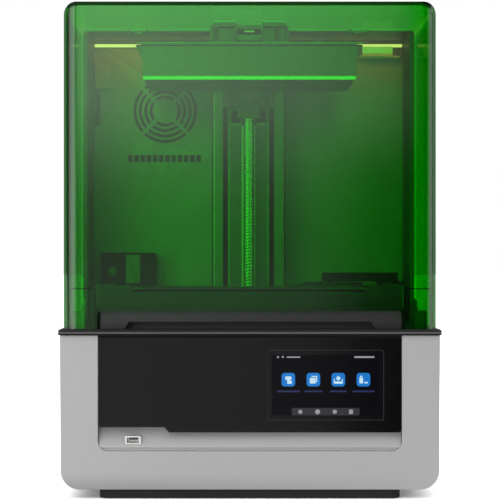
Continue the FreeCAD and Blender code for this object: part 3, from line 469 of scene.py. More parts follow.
# Where the zones of some nodes part, in metres, mostly from the low corner of the node's box.
LEVER_FACE, PUMP_FRONT, PUMP_WINDOW, PLATE_FACE, INNER_STRIPS = 0.010, 0.0078, 0.03, 0.001, 0.034
RECESS_FRONT, RECESS_TOP, RECESS_HALF = 0.004, 0.02, 0.18


def lever_zone(face):
    """0 for the lever's body, 1 for its lower front face, which gets a lighter copy of the moulding as
    painted light.
    """
    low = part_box("clamp_lever")[0]
    return int(face.normal.y < -0.7 and face.center.z < low.z + LEVER_FACE)


def clamp_zone(face):
    """0 for the clamp, 1 for the chamfer along its top front edge, which gets a lighter copy of the
    finish as a painted highlight.
    """
    return int(face.normal.y < -0.3 and face.normal.z > 0.3)


def pump_zone(face):
    """0 for the pump's case, 1 for its sight window, 2 for the round fitting."""
    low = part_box("feed_pump")[0]
    if face.center.y > low.y + PUMP_FRONT:
        return 0
    return 1 if face.center.x > low.x + PUMP_WINDOW else 2


def plate_zone(face):
    """0 for the plate's sides and inside, 1 for its underside."""
    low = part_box("build_plate")[0]
    return int(face.normal.z < -0.9 and face.center.z < low.z + PLATE_FACE)


def grip_zone(face):
    """0 for the panel's outside, 1 inside its finger recess, which gets a lighter copy of the moulding
    as painted light.
    """
    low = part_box("grip_panel")[0]
    return int(face.center.y > low.y + RECESS_FRONT and face.center.z < low.z + RECESS_TOP
               and abs(face.center.x) < RECESS_HALF)


def strip_zone(face):
    """0 for the column's outer strips, 1 for the inner pair beside the screw."""
    return int(abs(face.center.x) < INNER_STRIPS)


def guide_zone(face):
    """0 for the left guides, 1 for the shaded right ones."""
    return int(face.center.x > 0)


# Nodes with more than one material: the materials, and which of them a face has.
ZONES = {
    "build_plate": (("plate_face", "plate_under"), plate_zone),
    "grip_panel": (("grip_dark", "grip_pale"), grip_zone),
    "column_strips": (("strip_grey", "strip_inner"), strip_zone),
    "cover_guides": (("guide_grey", "guide_dark"), guide_zone),
    "clamp_lever": (("lever_black", "lever_pale"), lever_zone),
    "clamp_receiver": (("clamp_grey", "clamp_chamfer_highlight"), clamp_zone),
    "feed_pump": (("pump_black", "pump_window", "pump_ring"), pump_zone),
}


def face_materials(thing, names, zone):
    """Give each face of a CAD node the material of its zone."""
    thing.data.materials.clear()
    for name in names:
        thing.data.materials.append(MAT[name])
    for face in thing.data.polygons:
        face.material_index = zone(face)


def even_shading(thing):
    """Shade smoothly, with each flat face's own direction kept."""
    level = thing.modifiers.new("level", "WEIGHTED_NORMAL")
    level.weight = SHADE_WEIGHT
    for face in thing.data.polygons:
        face.use_smooth = True


def soften(thing, width):
    """Weld and merge the tessellation, then round its edges and even out the shading."""
    weld = thing.modifiers.new("weld", "WELD")
    weld.merge_threshold = WELD_GAP * MM
    merge = thing.modifiers.new("merge", "DECIMATE")
    merge.decimate_type = "DISSOLVE"
    merge.angle_limit = math.radians(FLAT_ANGLE)
    merge.delimit = {"MATERIAL"}
    bevel = thing.modifiers.new("edge", "BEVEL")
    bevel.width = width * MM
    bevel.segments = 3
    bevel.limit_method = "ANGLE"
    bevel.angle_limit = math.radians(EDGE_ANGLE)
    bevel.miter_outer = "MITER_ARC"
    even_shading(thing)


def dress_nodes():
    for name, thing in NODES.items():
        for slot in thing.material_slots:
            slot.material = MAT[slot.material.name.split(".")[0]]
        if name in OWN_MATERIAL:
            thing.material_slots[0].material = MAT[OWN_MATERIAL[name]]
        if name not in KEEP_AS_IS:
            soften(thing, SOFT_EDGE.get(name, OTHER_EDGE))
        if name in ZONES:
            face_materials(thing, *ZONES[name])


dress_nodes()


# ---- mesh building
PIECE_EDGE_ANGLE = 35


def link_mesh(mesh, material):
    """An object of the mesh's name, in the scene and in its material."""
    thing = bpy.data.objects.new(mesh.name, mesh)
    bpy.context.scene.collection.objects.link(thing)
    mesh.materials.append(MAT[material])
    return thing


def skin_faces(rings, steps):
    """Faces of a closed skin over rings of points, capped at both ends."""
    faces = [tuple(reversed(range(steps))), tuple(range((rings - 1) * steps, rings * steps))]
    for row in range(rings - 1):
        for step in range(steps):
            a, b = row * steps + step, row * steps + (step + 1) % steps
            faces.append((a, b, b + steps, a + steps))
    return faces


class Shape:
    """Collects solid pieces, in millimetres, into one mesh object."""

    def __init__(self):
        self.bm = bmesh.new()

    def solid(self, points, faces):
        made = [self.bm.verts.new(Vector(point) * MM) for point in points]
        for face in faces:
            self.bm.faces.new([made[i] for i in face])
        return self

    def block(self, x0, x1, y0, y1, z0, z1):
        points = [(x, y, z) for z in (z0, z1) for y in (y0, y1) for x in (x0, x1)]
        faces = [(0, 2, 3, 1), (4, 5, 7, 6), (0, 1, 5, 4), (2, 6, 7, 3), (0, 4, 6, 2), (1, 3, 7, 5)]
        return self.solid(points, faces)

    def face_strip(self, x0, x1, face, z0, z1, proud=0.08, sunk=0.4):
        """A bar let into a front face, a hair proud of it."""
        return self.block(x0, x1, face - proud, face + sunk, z0, z1)

    def panel(self, outline, y0, y1):
        """An outline of (x, z) points swept from y0 at the front to y1 behind."""
        n = len(outline)
        points = [(x, y, z) for y in (y0, y1) for x, z in outline]
        faces = [tuple(reversed(range(n))), tuple(range(n, 2 * n))]
        faces += [(i, (i + 1) % n, n + (i + 1) % n, n + i) for i in range(n)]
        return self.solid(points, faces)

    def lathe(self, profile, centre, axis="Z", steps=40):
        """A closed solid of revolution: profile of (radius, height) pairs along the axis."""
        points = []
        for radius, height in profile:
            for step in range(steps):
                angle = 2 * math.pi * step / steps
                across, along = radius * math.cos(angle), radius * math.sin(angle)
                turned = (across, along, height) if axis == "Z" else (along, height, across)
                points.append(tuple(a + b for a, b in zip(turned, centre)))
        return self.solid(points, skin_faces(len(profile), steps))

    def done(self, name, material, body, slot, edge=0.25, segments=2):
        """Finish the mesh: an object with rounded edges that rides its body."""
        bmesh.ops.recalc_face_normals(self.bm, faces=self.bm.faces)
        mesh = bpy.data.meshes.new(name)
        self.bm.to_mesh(mesh)
        self.bm.free()
        thing = link_mesh(mesh, material)
        if edge:
            bevel = thing.modifiers.new("edge", "BEVEL")
            bevel.width = edge * MM
            bevel.segments = segments
            bevel.limit_method = "ANGLE"
            bevel.angle_limit = math.radians(PIECE_EDGE_ANGLE)
        even_shading(thing)
        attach(thing, body)
        return thing


def rounded_outline(x0, x1, z0, z1, r, steps=6):
    points = []
    corners = ((x1 - r, z1 - r, 0), (x0 + r, z1 - r, 90), (x0 + r, z0 + r, 180), (x1 - r, z0 + r, 270))
    for cx, cz, start in corners:
        for step in range(steps + 1):
            angle = math.radians(start + 90 * step / steps)
            points.append((cx + r * math.cos(angle), cz + r * math.sin(angle)))
    return points


def circle_outline(cx, cz, r, steps=28):
    angles = [2 * math.pi * step / steps for step in range(steps)]
    return [(cx + r * math.cos(angle), cz + r * math.sin(angle)) for angle in angles]


# ---- ball screw with its thread
SCREW_LEAD, CREST_RADIUS, THREAD_DEPTH, PLAIN_RADIUS, SCREW_STEPS = 5.0, 6.95, 1.2, 5.9, 36
PLAIN_FOOT, PLAIN_HEAD, RUN_OUT, THREAD_ROW = 25, 15, 0.6, 0.5


def threaded_screw():
    """One skin of rings up the screw, each ring's radius read off the thread's helix."""
    low, high = box_mm("ball_screw")
    centre_x, centre_y = (low.x + high.x) / 2, (low.y + high.y) / 2
    start, end = low.z + PLAIN_FOOT, high.z - PLAIN_HEAD
    rows = int((end - start) / THREAD_ROW)
    heights = [low.z, start - RUN_OUT] + [start + (end - start) * i / rows for i in range(rows + 1)]
    heights += [end + RUN_OUT, high.z]
    points = []
    for height in heights:
        for step in range(SCREW_STEPS):
            angle = 2 * math.pi * step / SCREW_STEPS
            radius = PLAIN_RADIUS
            if start - 0.01 <= height <= end + 0.01:
                phase = ((height - start) / SCREW_LEAD - step / SCREW_STEPS) % 1.0
                groove = max(0.0, math.cos(2 * math.pi * (phase - 0.5))) ** 0.5
                radius = CREST_RADIUS - THREAD_DEPTH * groove
            x, y = centre_x + radius * math.cos(angle), centre_y + radius * math.sin(angle)
            points.append(Vector((x, y, height)) * MM)
    mesh = bpy.data.meshes.new("threaded_screw")
    mesh.from_pydata(points, [], skin_faces(len(heights), SCREW_STEPS))
    for face in mesh.polygons:
        face.use_smooth = True
    thing = link_mesh(mesh, "thread_steel")
    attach(thing, "screw")
    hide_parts("ball_screw")


threaded_screw()

# ---- touch screen page
# Outlines on the page: x from, x to, z from, z to, corner radius. A tile's mark is drawn from
# the tile's middle: rounded bars and, on two tiles, one plain outline.
PAGE = (30.4, 177.7, 115.2, 198.5, 1.0)
DOCK = (57.6, 150.9, 115.4, 125.6, 1.0)
TITLE_BARS = ((50.6, 69.6, 194.6, 196.4, 0.8), (143.6, 171.6, 194.4, 196.8, 1.0))
TILE_X, TILE_HALF, TILE_Z, TILE_ROUND = (52.9, 87.4, 121.7, 156.3), 9.3, (155.2, 173.8), 4.2
TILE_BARS = (
    ((-4.2, 4.2, 164.2, 169.0, 1.0),),
    ((-5.0, 3.2, 159.2, 167.0, 1.0), (3.8, 5.2, 161.0, 169.4, 0.6), (-2.6, 5.2, 168.2, 169.6, 0.6)),
    ((-6.2, 6.2, 159.0, 162.0, 0.6), (-6.2, -4.9, 161.0, 165.6, 0.4), (4.9, 6.2, 161.0, 165.6, 0.4)),
    ((-5.6, -0.6, 159.4, 167.4, 0.8), (-4.6, -1.6, 168.0, 170.0, 0.5), (1.2, 6.0, 159.4, 161.4, 0.6)))
TILE_OUTLINES = {0: ((-1.6, 166.2), (-1.6, 158.8), (4.8, 158.8), (5.0, 162.6), (0.6, 164.2)),
                 2: ((0, 170.0), (-3.4, 166.4), (0, 162.8), (3.4, 166.4))}
LABEL_HALVES, LABEL_Z, LABEL_ROUND = (15.8, 12.8, 11.6, 15.6), (147.2, 149.6), 1.1
# The dock's four marks: x, size and number of sides, with a rounded square last.
DOCK_MARKS, DOCK_Z = ((69.5, 3.1, 6), (93.2, 3.4, 28), (116.8, 3.1, 8)), 120.3
DOCK_SQUARE = (136.4, 142.0, 117.2, 123.4, 0.8)
STATUS_DOTS = ((38.6, 195.6, 1.5, 28), (45.4, 195.8, 1.6, 5))
# Each layer of the page stands this far in front of the glass.
PAGE_OUT, TILE_OUT, MARK_OUT = 0.02, 0.06, 0.10


def screen_page():
    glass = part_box("touch_screen")[0].y / MM
    page, tile, mark = glass - PAGE_OUT, glass - TILE_OUT, glass - MARK_OUT

    def layer(name, material, outlines, front, back):
        shape = Shape()
        for outline in outlines:
            shape.panel(outline, front, back)
        shape.done(name, material, "base", edge=0, slot="screen")

    tiles, glyphs, labels = [], [], []
    for index, (middle, half) in enumerate(zip(TILE_X, LABEL_HALVES)):
        tiles.append(rounded_outline(middle - TILE_HALF, middle + TILE_HALF, *TILE_Z, TILE_ROUND))
        labels.append(rounded_outline(middle - half, middle + half, *LABEL_Z, LABEL_ROUND))
        for x0, x1, z0, z1, r in TILE_BARS[index]:
            glyphs.append(rounded_outline(middle + x0, middle + x1, z0, z1, r))
        if index in TILE_OUTLINES:
            glyphs.append([(middle + x, z) for x, z in TILE_OUTLINES[index]])
    layer("screen_page", "ui_page", [rounded_outline(*PAGE)], page, glass + 0.2)
    layer("screen_tiles", "ui_tile", tiles, tile, page + 0.1)
    layer("screen_glyphs", "ui_glyph", glyphs, mark, tile + 0.05)
    layer("screen_labels", "ui_label", labels, tile, page + 0.1)
    layer("screen_dock", "ui_bar", [rounded_outline(*DOCK)], tile, page + 0.1)
    marks = Shape()
    for x, size, sides in DOCK_MARKS:
        marks.panel(circle_outline(x, DOCK_Z, size, sides), mark, tile + 0.05)
    marks.panel(rounded_outline(*DOCK_SQUARE), mark, tile + 0.05)
    for x, z, size, sides in STATUS_DOTS:
        marks.panel(circle_outline(x, z, size, sides), tile, page + 0.1)
    for bar in TITLE_BARS:
        marks.panel(rounded_outline(*bar), tile, page + 0.1)
    marks.done("screen_marks", "ui_mark", "base", edge=0, slot="screen")


screen_page()

# ---- ports and rear details
TONGUE_HALF, TONGUE_Y, TONGUE_Z = 6.2, (3.5, 14.5), (0.2, 2.2)
PINS, PIN_FIRST, PIN_PITCH, PIN_HALF, PIN_Y, PIN_Z = 4, -4.2, 2.8, 0.6, (4.2, 13.5), (-0.05, 0.3)
INLET_X, INLET_Z, BLADE_HALF, BLADE_HIGH = 165.0, 70.0, 1, 2.2
BLADES = ((-7, -3), (7, -3), (0, 3))
# Profiles of the screw heads' discs and sockets: radius, and height above the face.
COVER_HEAD = ((0.8, -1.0), (1.3, 0.15), (3.1, 0.15), (3.4, -0.1), (3.4, -1.5))
FILM_HEAD = ((1.9, -0.6), (1.9, 0.12), (0.9, 0.12), (0.6, -0.4))
FILM_SCREWS, FILM_END, FILM_SIDE = 7, 8, 3.2


def port_inside():
    """Tongue and contacts in the USB port."""
    low, high = box_mm("usb_port")
    x, z = (low.x + high.x) / 2, (low.z + high.z) / 2

    def depth_and_height(depths, heights):
        return [low.y + depth for depth in depths] + [z + height for height in heights]

    Shape().block(x - TONGUE_HALF, x + TONGUE_HALF, *depth_and_height(TONGUE_Y, TONGUE_Z)).done(
        "port_tongue", "tongue", "base", edge=0.2, slot="inlet_black")
    pins = Shape()
    for index in range(PINS):
        pin = x + PIN_FIRST + index * PIN_PITCH
        pins.block(pin - PIN_HALF, pin + PIN_HALF, *depth_and_height(PIN_Y, PIN_Z))
    pins.done("port_contacts", "contact", "base", edge=0.05, slot="connector_metal")


def inlet_pins():
    """Three blades inside the mains inlet."""
    rear = box_mm("power_inlet")[1].y
    pins = Shape()
    for across, up in BLADES:
        x, z = INLET_X + across, INLET_Z + up
        pins.block(x - BLADE_HALF, x + BLADE_HALF, rear - 14, rear - 4, z - BLADE_HIGH, z + BLADE_HIGH)
    pins.done("inlet_pins", "screw_head", "base", edge=0.2, slot="connector_metal")


def rear_screws():
    """Cap screws in rows over both rear covers."""
    screws = Shape()
    for name, from_side, from_end, with_middle in (("housing_rear_cover", 10, 12, True),
                                                   ("base_rear_cover", 12, 10, False)):
        low, high = box_mm(name)
        heights = [low.z + from_end, high.z - from_end]
        if with_middle:
            heights.append((low.z + high.z) / 2)
        for x in (low.x + from_side, 0, high.x - from_side):
            for z in heights:
                screws.lathe(COVER_HEAD, (x, high.y, z), "Y", 20)
    screws.done("rear_screws", "dark_screw", "base", edge=0, slot="nut_dark")


def film_screws():
    """Small screws along the front and rear of the vat film's ring."""
    low, high = box_mm("film_frame")
    screws = Shape()
    span = high.x - low.x - 2 * FILM_END
    for index in range(FILM_SCREWS):
        x = low.x + FILM_END + span * index / (FILM_SCREWS - 1)
        for y in (low.y + FILM_SIDE, high.y - FILM_SIDE):
            screws.lathe(FILM_HEAD, (x, y, high.z), "Z", 16)
    screws.done("film_screws", "screw_head", "vat", edge=0, slot="nut_dark")


# ---- chamber: lamp strip, back wall, filter, feed pump, camera
# Outlines on the back wall and the camera box: x from, x to, z from, z to, corner radius.
SENSOR_BOX = (-246.5, -219.5, 604, 645, 2.0)
CABLE_CHANNEL = (-246.0, -238.0, 544, 602, 1.5)
CAMERA_PANE = (182.0, 229.5, 658.4, 668.4, 1.2)
CAMERA_LEDGE = (179.0, 241.0, 149.8, 150.4, 653.0, 654.4)
# The pump's round fitting, from its lens to the bright spot in its middle, a painted glint: radius, and
# how far out.
DIAL_X, DIAL_Y, DIAL_Z = -216.2, 130.0, 311.0
DIAL = (("pump_lens", "groove_black", 4.9, 0.15), ("pump_ring", "pump_ring", 3.6, 0.3),
        ("pump_core", "groove_black", 2.4, 0.45), ("pump_glint", "edge_highlight", 1.0, 0.6))


def lamp_strip():
    """Glowing strip let into the front of the lamp bar."""
    low, high = box_mm("led_bar")
    Shape().block(low.x + 0.6, high.x - 0.6, low.y - 0.5, low.y + 1, low.z + 0.9, high.z - 1.0).done(
        "lamp_strip", "lamp_glow", "base", edge=0.2, slot="lamp")


def wall_boxes():
    """A sensor box at the back wall's upper left, and the cable channel below it."""
    wall = box_mm("back_panel")[0].y
    Shape().panel(rounded_outline(*SENSOR_BOX), wall - 7, wall + 0.5).done(
        "sensor_box", "wall_grey", "base", edge=0.8, slot="wall_grey", segments=3)
    Shape().panel(rounded_outline(*CABLE_CHANNEL), wall - 4, wall + 0.5).done(
        "cable_channel", "channel_grey", "base", edge=0.6, slot="guide_grey", segments=3)


def filter_felt():
    """Felt that fills the filter, so nothing shines through the ring grille."""
    low, high = box_mm("carbon_filter")
    Shape().block(low.x + 1, high.x - 1, low.y + 1, high.y - 1, low.z + 1, high.z - 1).done(
        "filter_felt", "filter_black", "base", edge=0.5, slot="filter_black")


def pump_dial():
    """Dark lens, bright rings and a painted glint in the feed pump's round fitting."""
    for name, material, radius, out in DIAL:
        Shape().panel(circle_outline(DIAL_X, DIAL_Z, radius), DIAL_Y - out, DIAL_Y + 0.3).done(
            name, material, "base", edge=0, slot="pump_black")


def camera_window():
    """Lit window in the front of the small box under the lamp bar, and a light line along the box's
    ledge, a painted highlight.
    """
    front = box_mm("camera_module")[0].y
    Shape().panel(rounded_outline(*CAMERA_PANE), front - 0.1, front + 4.2).done(
        "camera_window", "camera_glow", "base", edge=0.05, slot="camera_grey")
    Shape().block(*CAMERA_LEDGE).done(
        "camera_ledge_highlight", "edge_highlight", "base", edge=0.1, slot="camera_grey")


# ---- column, platform, clamp and vat: rims, joints and bands, mostly painted highlights and painted shadow
# The column's lines run from the deck to the strips' joint, the outermost up to the strips' top.
LINES_FOOT, LINES_JOINT = 262.0, 545.0
RIM_LEFT = (-55.0, -53.2)
RIM_X, RIM_HALF, JOINT_X, JOINT_HALF, GROOVE_HALF = 30.6, 0.5, 56.9, 0.8, 8.0
# The cap's light rims and the white strips by the screw are painted highlights; the cap's dark bands are
# painted shadow beside the nut block.
CAP_X, CAP_RIM_Z, CAP_SHADOW_Z = (13.0, 27.0), (542.2, 543.4), (545.5, 563.0)
SCREW_HIGHLIGHT_X, SCREW_HIGHLIGHT_TOP = ((-10.7, -7.9), (8.5, 10.3)), 541.0
BAND_HALF, BAND_FOOT, BAND_TOP, BAND_BACK, BAND_OUT, BAND_THICK = 152.5, 0.05, 5.9, 1.2, 0.3, 0.6
# The lid's dark lines are painted shadow, and its light rim a painted highlight.
LID_END, LID_JOINT_Z, LID_LINE_Z, LID_RIM_Z = 2.0, (635.75, 637.2), (638.9, 639.5), (639.7, 640.6)
# The clamp's dark lines are painted shadow and its dark bands painted shade.
CLAMP_LINES, CLAMP_LINE_Z = ((-46.0, -19.9), (19.9, 52.0)), (666.4, 668.4)
CLAMP_SHADES, CLAMP_SHADE_Z = ((-52.5, -45.5), (37.0, 43.0), (50.0, 54.5)), (647.6, 667.0)
CLAMP_BACK_HALF, CLAMP_BACK_Y, CLAMP_BACK_FOOT = 19.2, (-70.5, -69.8), 663.0
# The lever's dark band is painted shadow, and the glow in its slot a painted highlight.
LEVER_END, LEVER_BAND_Z, LEVER_SLOT_HALF, LEVER_SLOT_Z = 1.5, (656.9, 664.4), 7.4, (660.0, 662.4)
# The vat's dark band is painted shadow along its rim.
VAT_BAND_HALF, VAT_BAND_FOOT = 164.0, 283.9
RIBS, RIB_RADIUS, RIB_IN, RIB_FOOT, RIB_TOP = 24, 0.55, 0.35, 6.5, 1.2


def column_lines():
    """Fine edges of the column: light rims and white strips beside the screw as painted highlights, and
    dark lines in its joints, slot and beside the nut block as painted shadow.
    """
    front = box_mm("column_strips")[0].y
    body = box_mm("column_frame")[0].y
    top = box_mm("column_strips")[1].z - 1
    light, dark, screw_highlights = Shape(), Shape(), Shape()
    light.face_strip(*RIM_LEFT, front, LINES_FOOT, top, proud=0.12)
    for side in (-1, 1):
        rim, joint = side * RIM_X, side * JOINT_X
        cap = sorted(side * x for x in CAP_X)
        light.face_strip(rim - RIM_HALF, rim + RIM_HALF, front, LINES_FOOT, LINES_JOINT, proud=0.12)
        dark.block(joint - JOINT_HALF, joint + JOINT_HALF, body + 1.0, body + 3.0, LINES_FOOT, top)
        light.face_strip(*cap, front, *CAP_RIM_Z, proud=0.12)
        dark.face_strip(*cap, front, *CAP_SHADOW_Z, sunk=0.3)
    for x0, x1 in SCREW_HIGHLIGHT_X:
        screw_highlights.face_strip(x0, x1, front, LINES_FOOT, SCREW_HIGHLIGHT_TOP, proud=0.5)
    dark.face_strip(-GROOVE_HALF, GROOVE_HALF, body, LINES_FOOT, LINES_JOINT, proud=0.1, sunk=0.3)
    light.done("column_rim_highlights", "edge_highlight", "base", edge=0.1, slot="strip_grey")
    screw_highlights.done("screw_slot_highlights", "screw_highlight_white", "base", edge=0.1, slot="strip_grey")
    dark.done("column_joint_shadows", "groove_black", "base", edge=0, slot="column_dark")


def plate_band():
    """Ground and polished bevel along the plate's lower front edge."""
    low = box_mm("build_plate")[0]
    foot, top = low.z + BAND_FOOT, low.z + BAND_TOP
    back, front = low.y + BAND_BACK, low.y - BAND_OUT
    points = [(-BAND_HALF, back, foot), (BAND_HALF, back, foot), (BAND_HALF, front, top),
              (-BAND_HALF, front, top)]
    points += [(x, y + BAND_THICK, z) for x, y, z in points]
    faces = [(0, 1, 2, 3), (7, 6, 5, 4), (0, 4, 5, 1), (1, 5, 6, 2), (2, 6, 7, 3), (3, 7, 4, 0)]
    band = Shape().solid(points, faces).done(
        "plate_band", "polished", "platform", edge=0, slot="plate_face")
    for face in band.data.polygons:
        face.use_smooth = False


def lid_lines():
    """Dark lines at the platform lid's joint as painted shadow under its overhang, and a light line
    along its rim as a painted highlight.
    """
    low, high = box_mm("platform_cap")
    x0, x1 = low.x + LID_END, high.x - LID_END
    z0, z1 = LID_JOINT_Z
    joints = Shape().block(x0, x1, low.y + 1.2, low.y + 3.5, z0, z1)
    joints.face_strip(x0, x1, low.y, *LID_LINE_Z, proud=0.06)
    joints.done("lid_joint_shadows", "groove_black", "platform", edge=0, slot="platform_grey")
    Shape().face_strip(x0, x1, low.y, *LID_RIM_Z, proud=0.06).done(
        "lid_rim_highlight", "edge_highlight", "platform", edge=0.1, slot="platform_grey")


def clamp_shadow_lines():
    """Dark lines under the clamp's chamfer as painted shadow, dark bands in its front as painted shade,
    and its bright back plate.
    """
    low, high = box_mm("clamp_receiver")
    lines, shades = Shape(), Shape()
    for x0, x1 in CLAMP_LINES:
        lines.face_strip(x0, x1, low.y, *CLAMP_LINE_Z)
    lines.done("clamp_shadow_lines", "groove_black", "z_carriage", edge=0, slot="clamp_grey")
    for x0, x1 in CLAMP_SHADES:
        shades.panel(rounded_outline(x0, x1, *CLAMP_SHADE_Z, 1.6), low.y - 0.08, low.y + 0.4)
    shades.done("clamp_shades", "clamp_shade", "z_carriage", edge=0, slot="clamp_grey")
    Shape().block(-CLAMP_BACK_HALF, CLAMP_BACK_HALF, *CLAMP_BACK_Y, CLAMP_BACK_FOOT, high.z - 0.4).done(
        "clamp_back", "clamp_back", "z_carriage", edge=0.1, slot="clamp_grey")


def lever_lines():
    """Dark band across the lever, painted shadow over its groove, and a glowing strip in its middle, a
    painted highlight.
    """
    low, high = box_mm("clamp_lever")
    Shape().face_strip(low.x + LEVER_END, high.x - LEVER_END, low.y, *LEVER_BAND_Z).done(
        "lever_groove_shadow", "groove_black", "lever", edge=0, slot="lever_black")
    Shape().face_strip(-LEVER_SLOT_HALF, LEVER_SLOT_HALF, low.y, *LEVER_SLOT_Z, proud=0.16, sunk=0.2).done(
        "lever_slot_highlight", "lever_slot_glow_highlight", "lever", edge=0.1, slot="lever_black")


def vat_rim_shadow():
    """Painted shadow along the front of the vat's rim, as a dark band."""
    low, high = box_mm("vat_tray")
    Shape().face_strip(-VAT_BAND_HALF, VAT_BAND_HALF, low.y, VAT_BAND_FOOT, high.z - 0.3, proud=0.15).done(
        "vat_rim_shadow", "groove_black", "vat", edge=0.1, slot="vat_metal")


def knob_ribs(name, body):
    """Ribs round one of the vat's thumb screws."""
    low, high = box_mm(name)
    centre_x, centre_y = (low.x + high.x) / 2, (low.y + high.y) / 2
    reach = (high.x - low.x) / 2 - RIB_IN
    profile = [(RIB_RADIUS, high.z - RIB_FOOT), (RIB_RADIUS, high.z - RIB_TOP)]
    ribs = Shape()
    for index in range(RIBS):
        angle = 2 * math.pi * index / RIBS
        centre = (centre_x + reach * math.cos(angle), centre_y + reach * math.sin(angle), 0)
        ribs.lathe(profile, centre, steps=8)
    ribs.done(name + "_ribs", "knob_black", body, edge=0, slot="knob_black")


# ---- joints and painted shadow in the base's front
# The dark band over the fascia's top is painted shadow under the deck's lip.
FASCIA_HALF, FASCIA_SHADOW_Z = 208.6, (221.9, 225.4)


def fascia_joint_shadow():
    """Dark band over the joint between the deck plate and the fascia below it, painted shadow under the
    deck's lip.
    """
    front = box_mm("front_fascia")[0].y
    Shape().face_strip(-FASCIA_HALF, FASCIA_HALF, front, *FASCIA_SHADOW_Z, proud=0.06, sunk=0.5).done(
        "fascia_joint_shadow", "groove_black", "base", edge=0, slot="fascia_black")


def grip_ends():
    """Dark joints where the grip panel ends against the hood."""
    low, high = box_mm("grip_panel")
    joints = Shape()
    for x0, x1 in ((low.x + 0.2, low.x + 6.0), (high.x - 3.0, high.x - 0.2)):
        joints.face_strip(x0, x1, low.y, low.z + 0.4, high.z - 0.6, proud=0.1, sunk=0.5)
    joints.done("grip_joints", "groove_black", "base", edge=0.1, slot="bay_dark")


port_inside()
inlet_pins()
rear_screws()
film_screws()
lamp_strip()
wall_boxes()
filter_felt()
pump_dial()
camera_window()
column_lines()
plate_band()
lid_lines()
clamp_shadow_lines()
lever_lines()
vat_rim_shadow()
knob_ribs("vat_knob_left", "knob_left")
knob_ribs("vat_knob_right", "knob_right")
fascia_joint_shadow()
grip_ends()

# ---- camera, light, floor
CAMERA_PLACE = (-0.015, -2.512, 0.332)
CAMERA_LENS, CAMERA_SENSOR, CAMERA_SHIFT = 120.0, 36.0, (0.022, 0.016)

scene = bpy.context.scene
scene.view_settings.view_transform = "Standard"
scene.view_settings.look = "None"


def place_camera():
    """A long lens level with the middle of the printer, looking straight at its front."""
    data = bpy.data.cameras.new("camera")
    data.sensor_width = CAMERA_SENSOR
    data.lens = CAMERA_LENS
    data.shift_x, data.shift_y = CAMERA_SHIFT
    camera = bpy.data.objects.new("camera", data)
    camera.location = CAMERA_PLACE
    camera.rotation_euler = (math.radians(90), 0, 0)
    scene.collection.objects.link(camera)
    scene.camera = camera


place_camera()

# How bright the surroundings are, by direction. The window patch straight ahead is what the flat
# front mirrors: WINDOW_UP by height and WINDOW_ACROSS_* by sideways slope, low down and high up.
WINDOW_STRENGTH = 1.9
WINDOW_UP = ((-0.10, 0.23), (-0.01, 0.23), (0.008, 0.20), (0.02, 0.22), (0.035, 0.27), (0.05, 0.38),
             (0.065, 0.58), (0.08, 0.80), (0.095, 1.0), (0.15, 1.05))
WINDOW_ACROSS_LOW = ((-0.15, 0.0), (-0.10, 0.0), (-0.095, 1.0), (-0.01, 0.9), (0.043, 0.72),
                     (0.067, 0.36), (0.079, 0.17), (0.091, 0.12), (0.109, 0.0), (0.15, 0.0))
WINDOW_ACROSS_HIGH = ((-0.15, 0.0), (-0.10, 0.0), (-0.095, 1.0), (-0.01, 0.82), (0.043, 0.66),
                      (0.067, 0.52), (0.079, 0.42), (0.091, 0.36), (0.101, 0.19), (0.109, 0.0),
                      (0.15, 0.0))
# Brightness of the walls by heading, in radians from straight ahead (left is negative).
WALLS = ((-3.14, 1.0), (-1.9, 0.9), (-1.65, 0.1), (-1.4, 0.2), (-1.2, 1.5), (-1.03, 2.4), (-0.875, 2.9),
         (-0.5, 3.2), (-0.42, 2.8), (-0.27, 1.4), (-0.13, 0.0), (0.5, 0.0), (0.7, 0.15), (0.856, 0.75),
         (1.018, 1.35), (1.185, 2.1), (1.354, 2.8), (1.537, 1.5), (1.7, 0.5), (1.8, 1.2), (3.14, 1.0))
WALL_TOP, CEILING, FRONT_FLOOR = 3.2, 1.5, 2.3
# Slopes between which the window's upper half, the window, the ceiling and the floor set in.
UPPER_FROM, WINDOW_FROM, CEILING_FROM = (0.04, 0.09), (0.5, 0.6), (0.28, 0.45)
FLOOR_BELOW, FLOOR_AHEAD = (-0.22, -0.30), (0.6, 0.75)


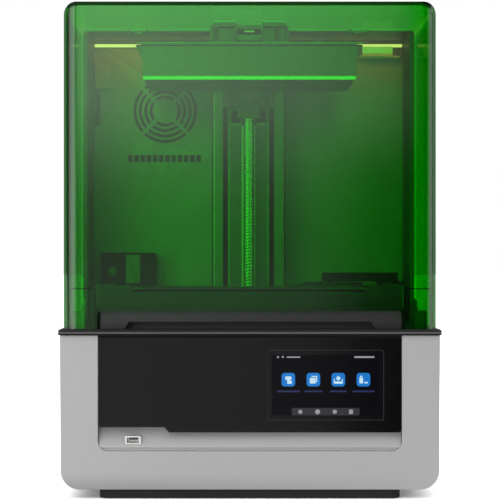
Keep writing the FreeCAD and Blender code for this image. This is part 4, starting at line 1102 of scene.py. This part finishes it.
def studio_world():
    """White walls and ceiling, dark behind the camera but for one soft window to the upper left."""
    world = bpy.data.worlds.new("studio")
    scene.world = world
    w = Nodes(world)
    x, y, z = w.axes("Generated")

    def times(first, second):
        return w.maths("MULTIPLY", first, second)

    def from_to(value, limits):
        return w.ranged(value, 0.0, 1.0, *limits, blend="SMOOTHSTEP")

    ahead = times(y, -1.0)
    upper = from_to(z, UPPER_FROM)
    across = w.maths("ADD", times(w.curve(x, WINDOW_ACROSS_HIGH), upper),
                     times(w.curve(x, WINDOW_ACROSS_LOW), w.maths("SUBTRACT", 1.0, upper)))
    window = times(times(w.curve(z, WINDOW_UP), across), WINDOW_STRENGTH)
    value = times(window, from_to(ahead, WINDOW_FROM))
    walls = times(w.curve(w.maths("ARCTAN2", x, ahead), WALLS, WALL_TOP), WALL_TOP)
    ceiling = times(from_to(z, CEILING_FROM), CEILING)
    floor_light = times(times(from_to(z, FLOOR_BELOW), from_to(ahead, FLOOR_AHEAD)), FRONT_FLOOR)
    for other in (walls, ceiling, floor_light):
        value = w.maths("MAXIMUM", value, other)
    light, backdrop = w.node("ShaderNodeBackground"), w.node("ShaderNodeBackground")
    for background, strength in ((light, value), (backdrop, 1.0)):
        w.feed(background.inputs["Color"], grey(1.0))
        w.feed(background.inputs["Strength"], strength)
    mix = w.node("ShaderNodeMixShader")
    w.feed(mix.inputs[0], w.node("ShaderNodeLightPath").outputs["Is Camera Ray"])
    w.feed(mix.inputs[1], light.outputs[0])
    w.feed(mix.inputs[2], backdrop.outputs[0])
    w.feed(w.node("ShaderNodeOutputWorld").inputs[0], mix.outputs[0])


studio_world()


def area_light(name, place, target, size, power, colour=(1, 1, 1), glossy=True):
    """A rectangular light that shines from place at target."""
    data = bpy.data.lights.new(name, "AREA")
    data.shape = "RECTANGLE"
    data.size, data.size_y = size
    data.energy = power
    data.color = colour
    thing = bpy.data.objects.new(name, data)
    thing.location = place
    thing.rotation_euler = (Vector(target) - Vector(place)).to_track_quat("-Z", "Y").to_euler()
    thing.visible_glossy = glossy
    thing.visible_camera = False
    scene.collection.objects.link(thing)


LAMP_X, LAMP_FROM, LAMP_AT = 0.2, (0.125, 0.664), (0.172, 0.635)
LAMP_SIZE, LAMP_POWER, LAMP_COLOUR = (0.09, 0.01), 0.15, (1.0, 0.04, 0.03)

area_light("key_light", (-0.9, -1.75, 1.95), (0, 0, 0.35), (2.2, 1.6), 16.0)
area_light("top_light", (0.0, 0.3, 2.4), (0, 0, 0.3), (1.6, 1.2), 22.0)
for side, name in ((-1, "lamp_glow_left"), (1, "lamp_glow_right")):
    area_light(name, (side * LAMP_X, *LAMP_FROM), (side * LAMP_X, *LAMP_AT), LAMP_SIZE, LAMP_POWER,
               LAMP_COLOUR, glossy=False)

# The floor's front edge is below the picture. Past it, what the printer mirrors is FRONT_FLOOR.
FLOOR_HALF, FLOOR_FRONT = 30.0, -0.9


def floor():
    """White floor that starts ahead of the printer and runs out of sight behind it."""
    mesh = bpy.data.meshes.new("floor")
    corners = [(-FLOOR_HALF, FLOOR_FRONT, 0), (FLOOR_HALF, FLOOR_FRONT, 0),
               (FLOOR_HALF, FLOOR_HALF, 0), (-FLOOR_HALF, FLOOR_HALF, 0)]
    mesh.from_pydata(corners, [], [(0, 1, 2, 3)])
    thing = bpy.data.objects.new("floor", mesh)
    scene.collection.objects.link(thing)
    s = Surface("floor_white")
    s.set("Base Color", s.mixed(s.ranged(s.noise(3.0), 0.0, 1.0), grey(0.90), grey(0.93)))
    s.set("Roughness", 0.7)
    s.set("Specular IOR Level", 0.2)
    s.set("Emission Color", grey(1.0))
    s.set("Emission Strength", 0.12)
    mesh.materials.append(s.material)


floor()
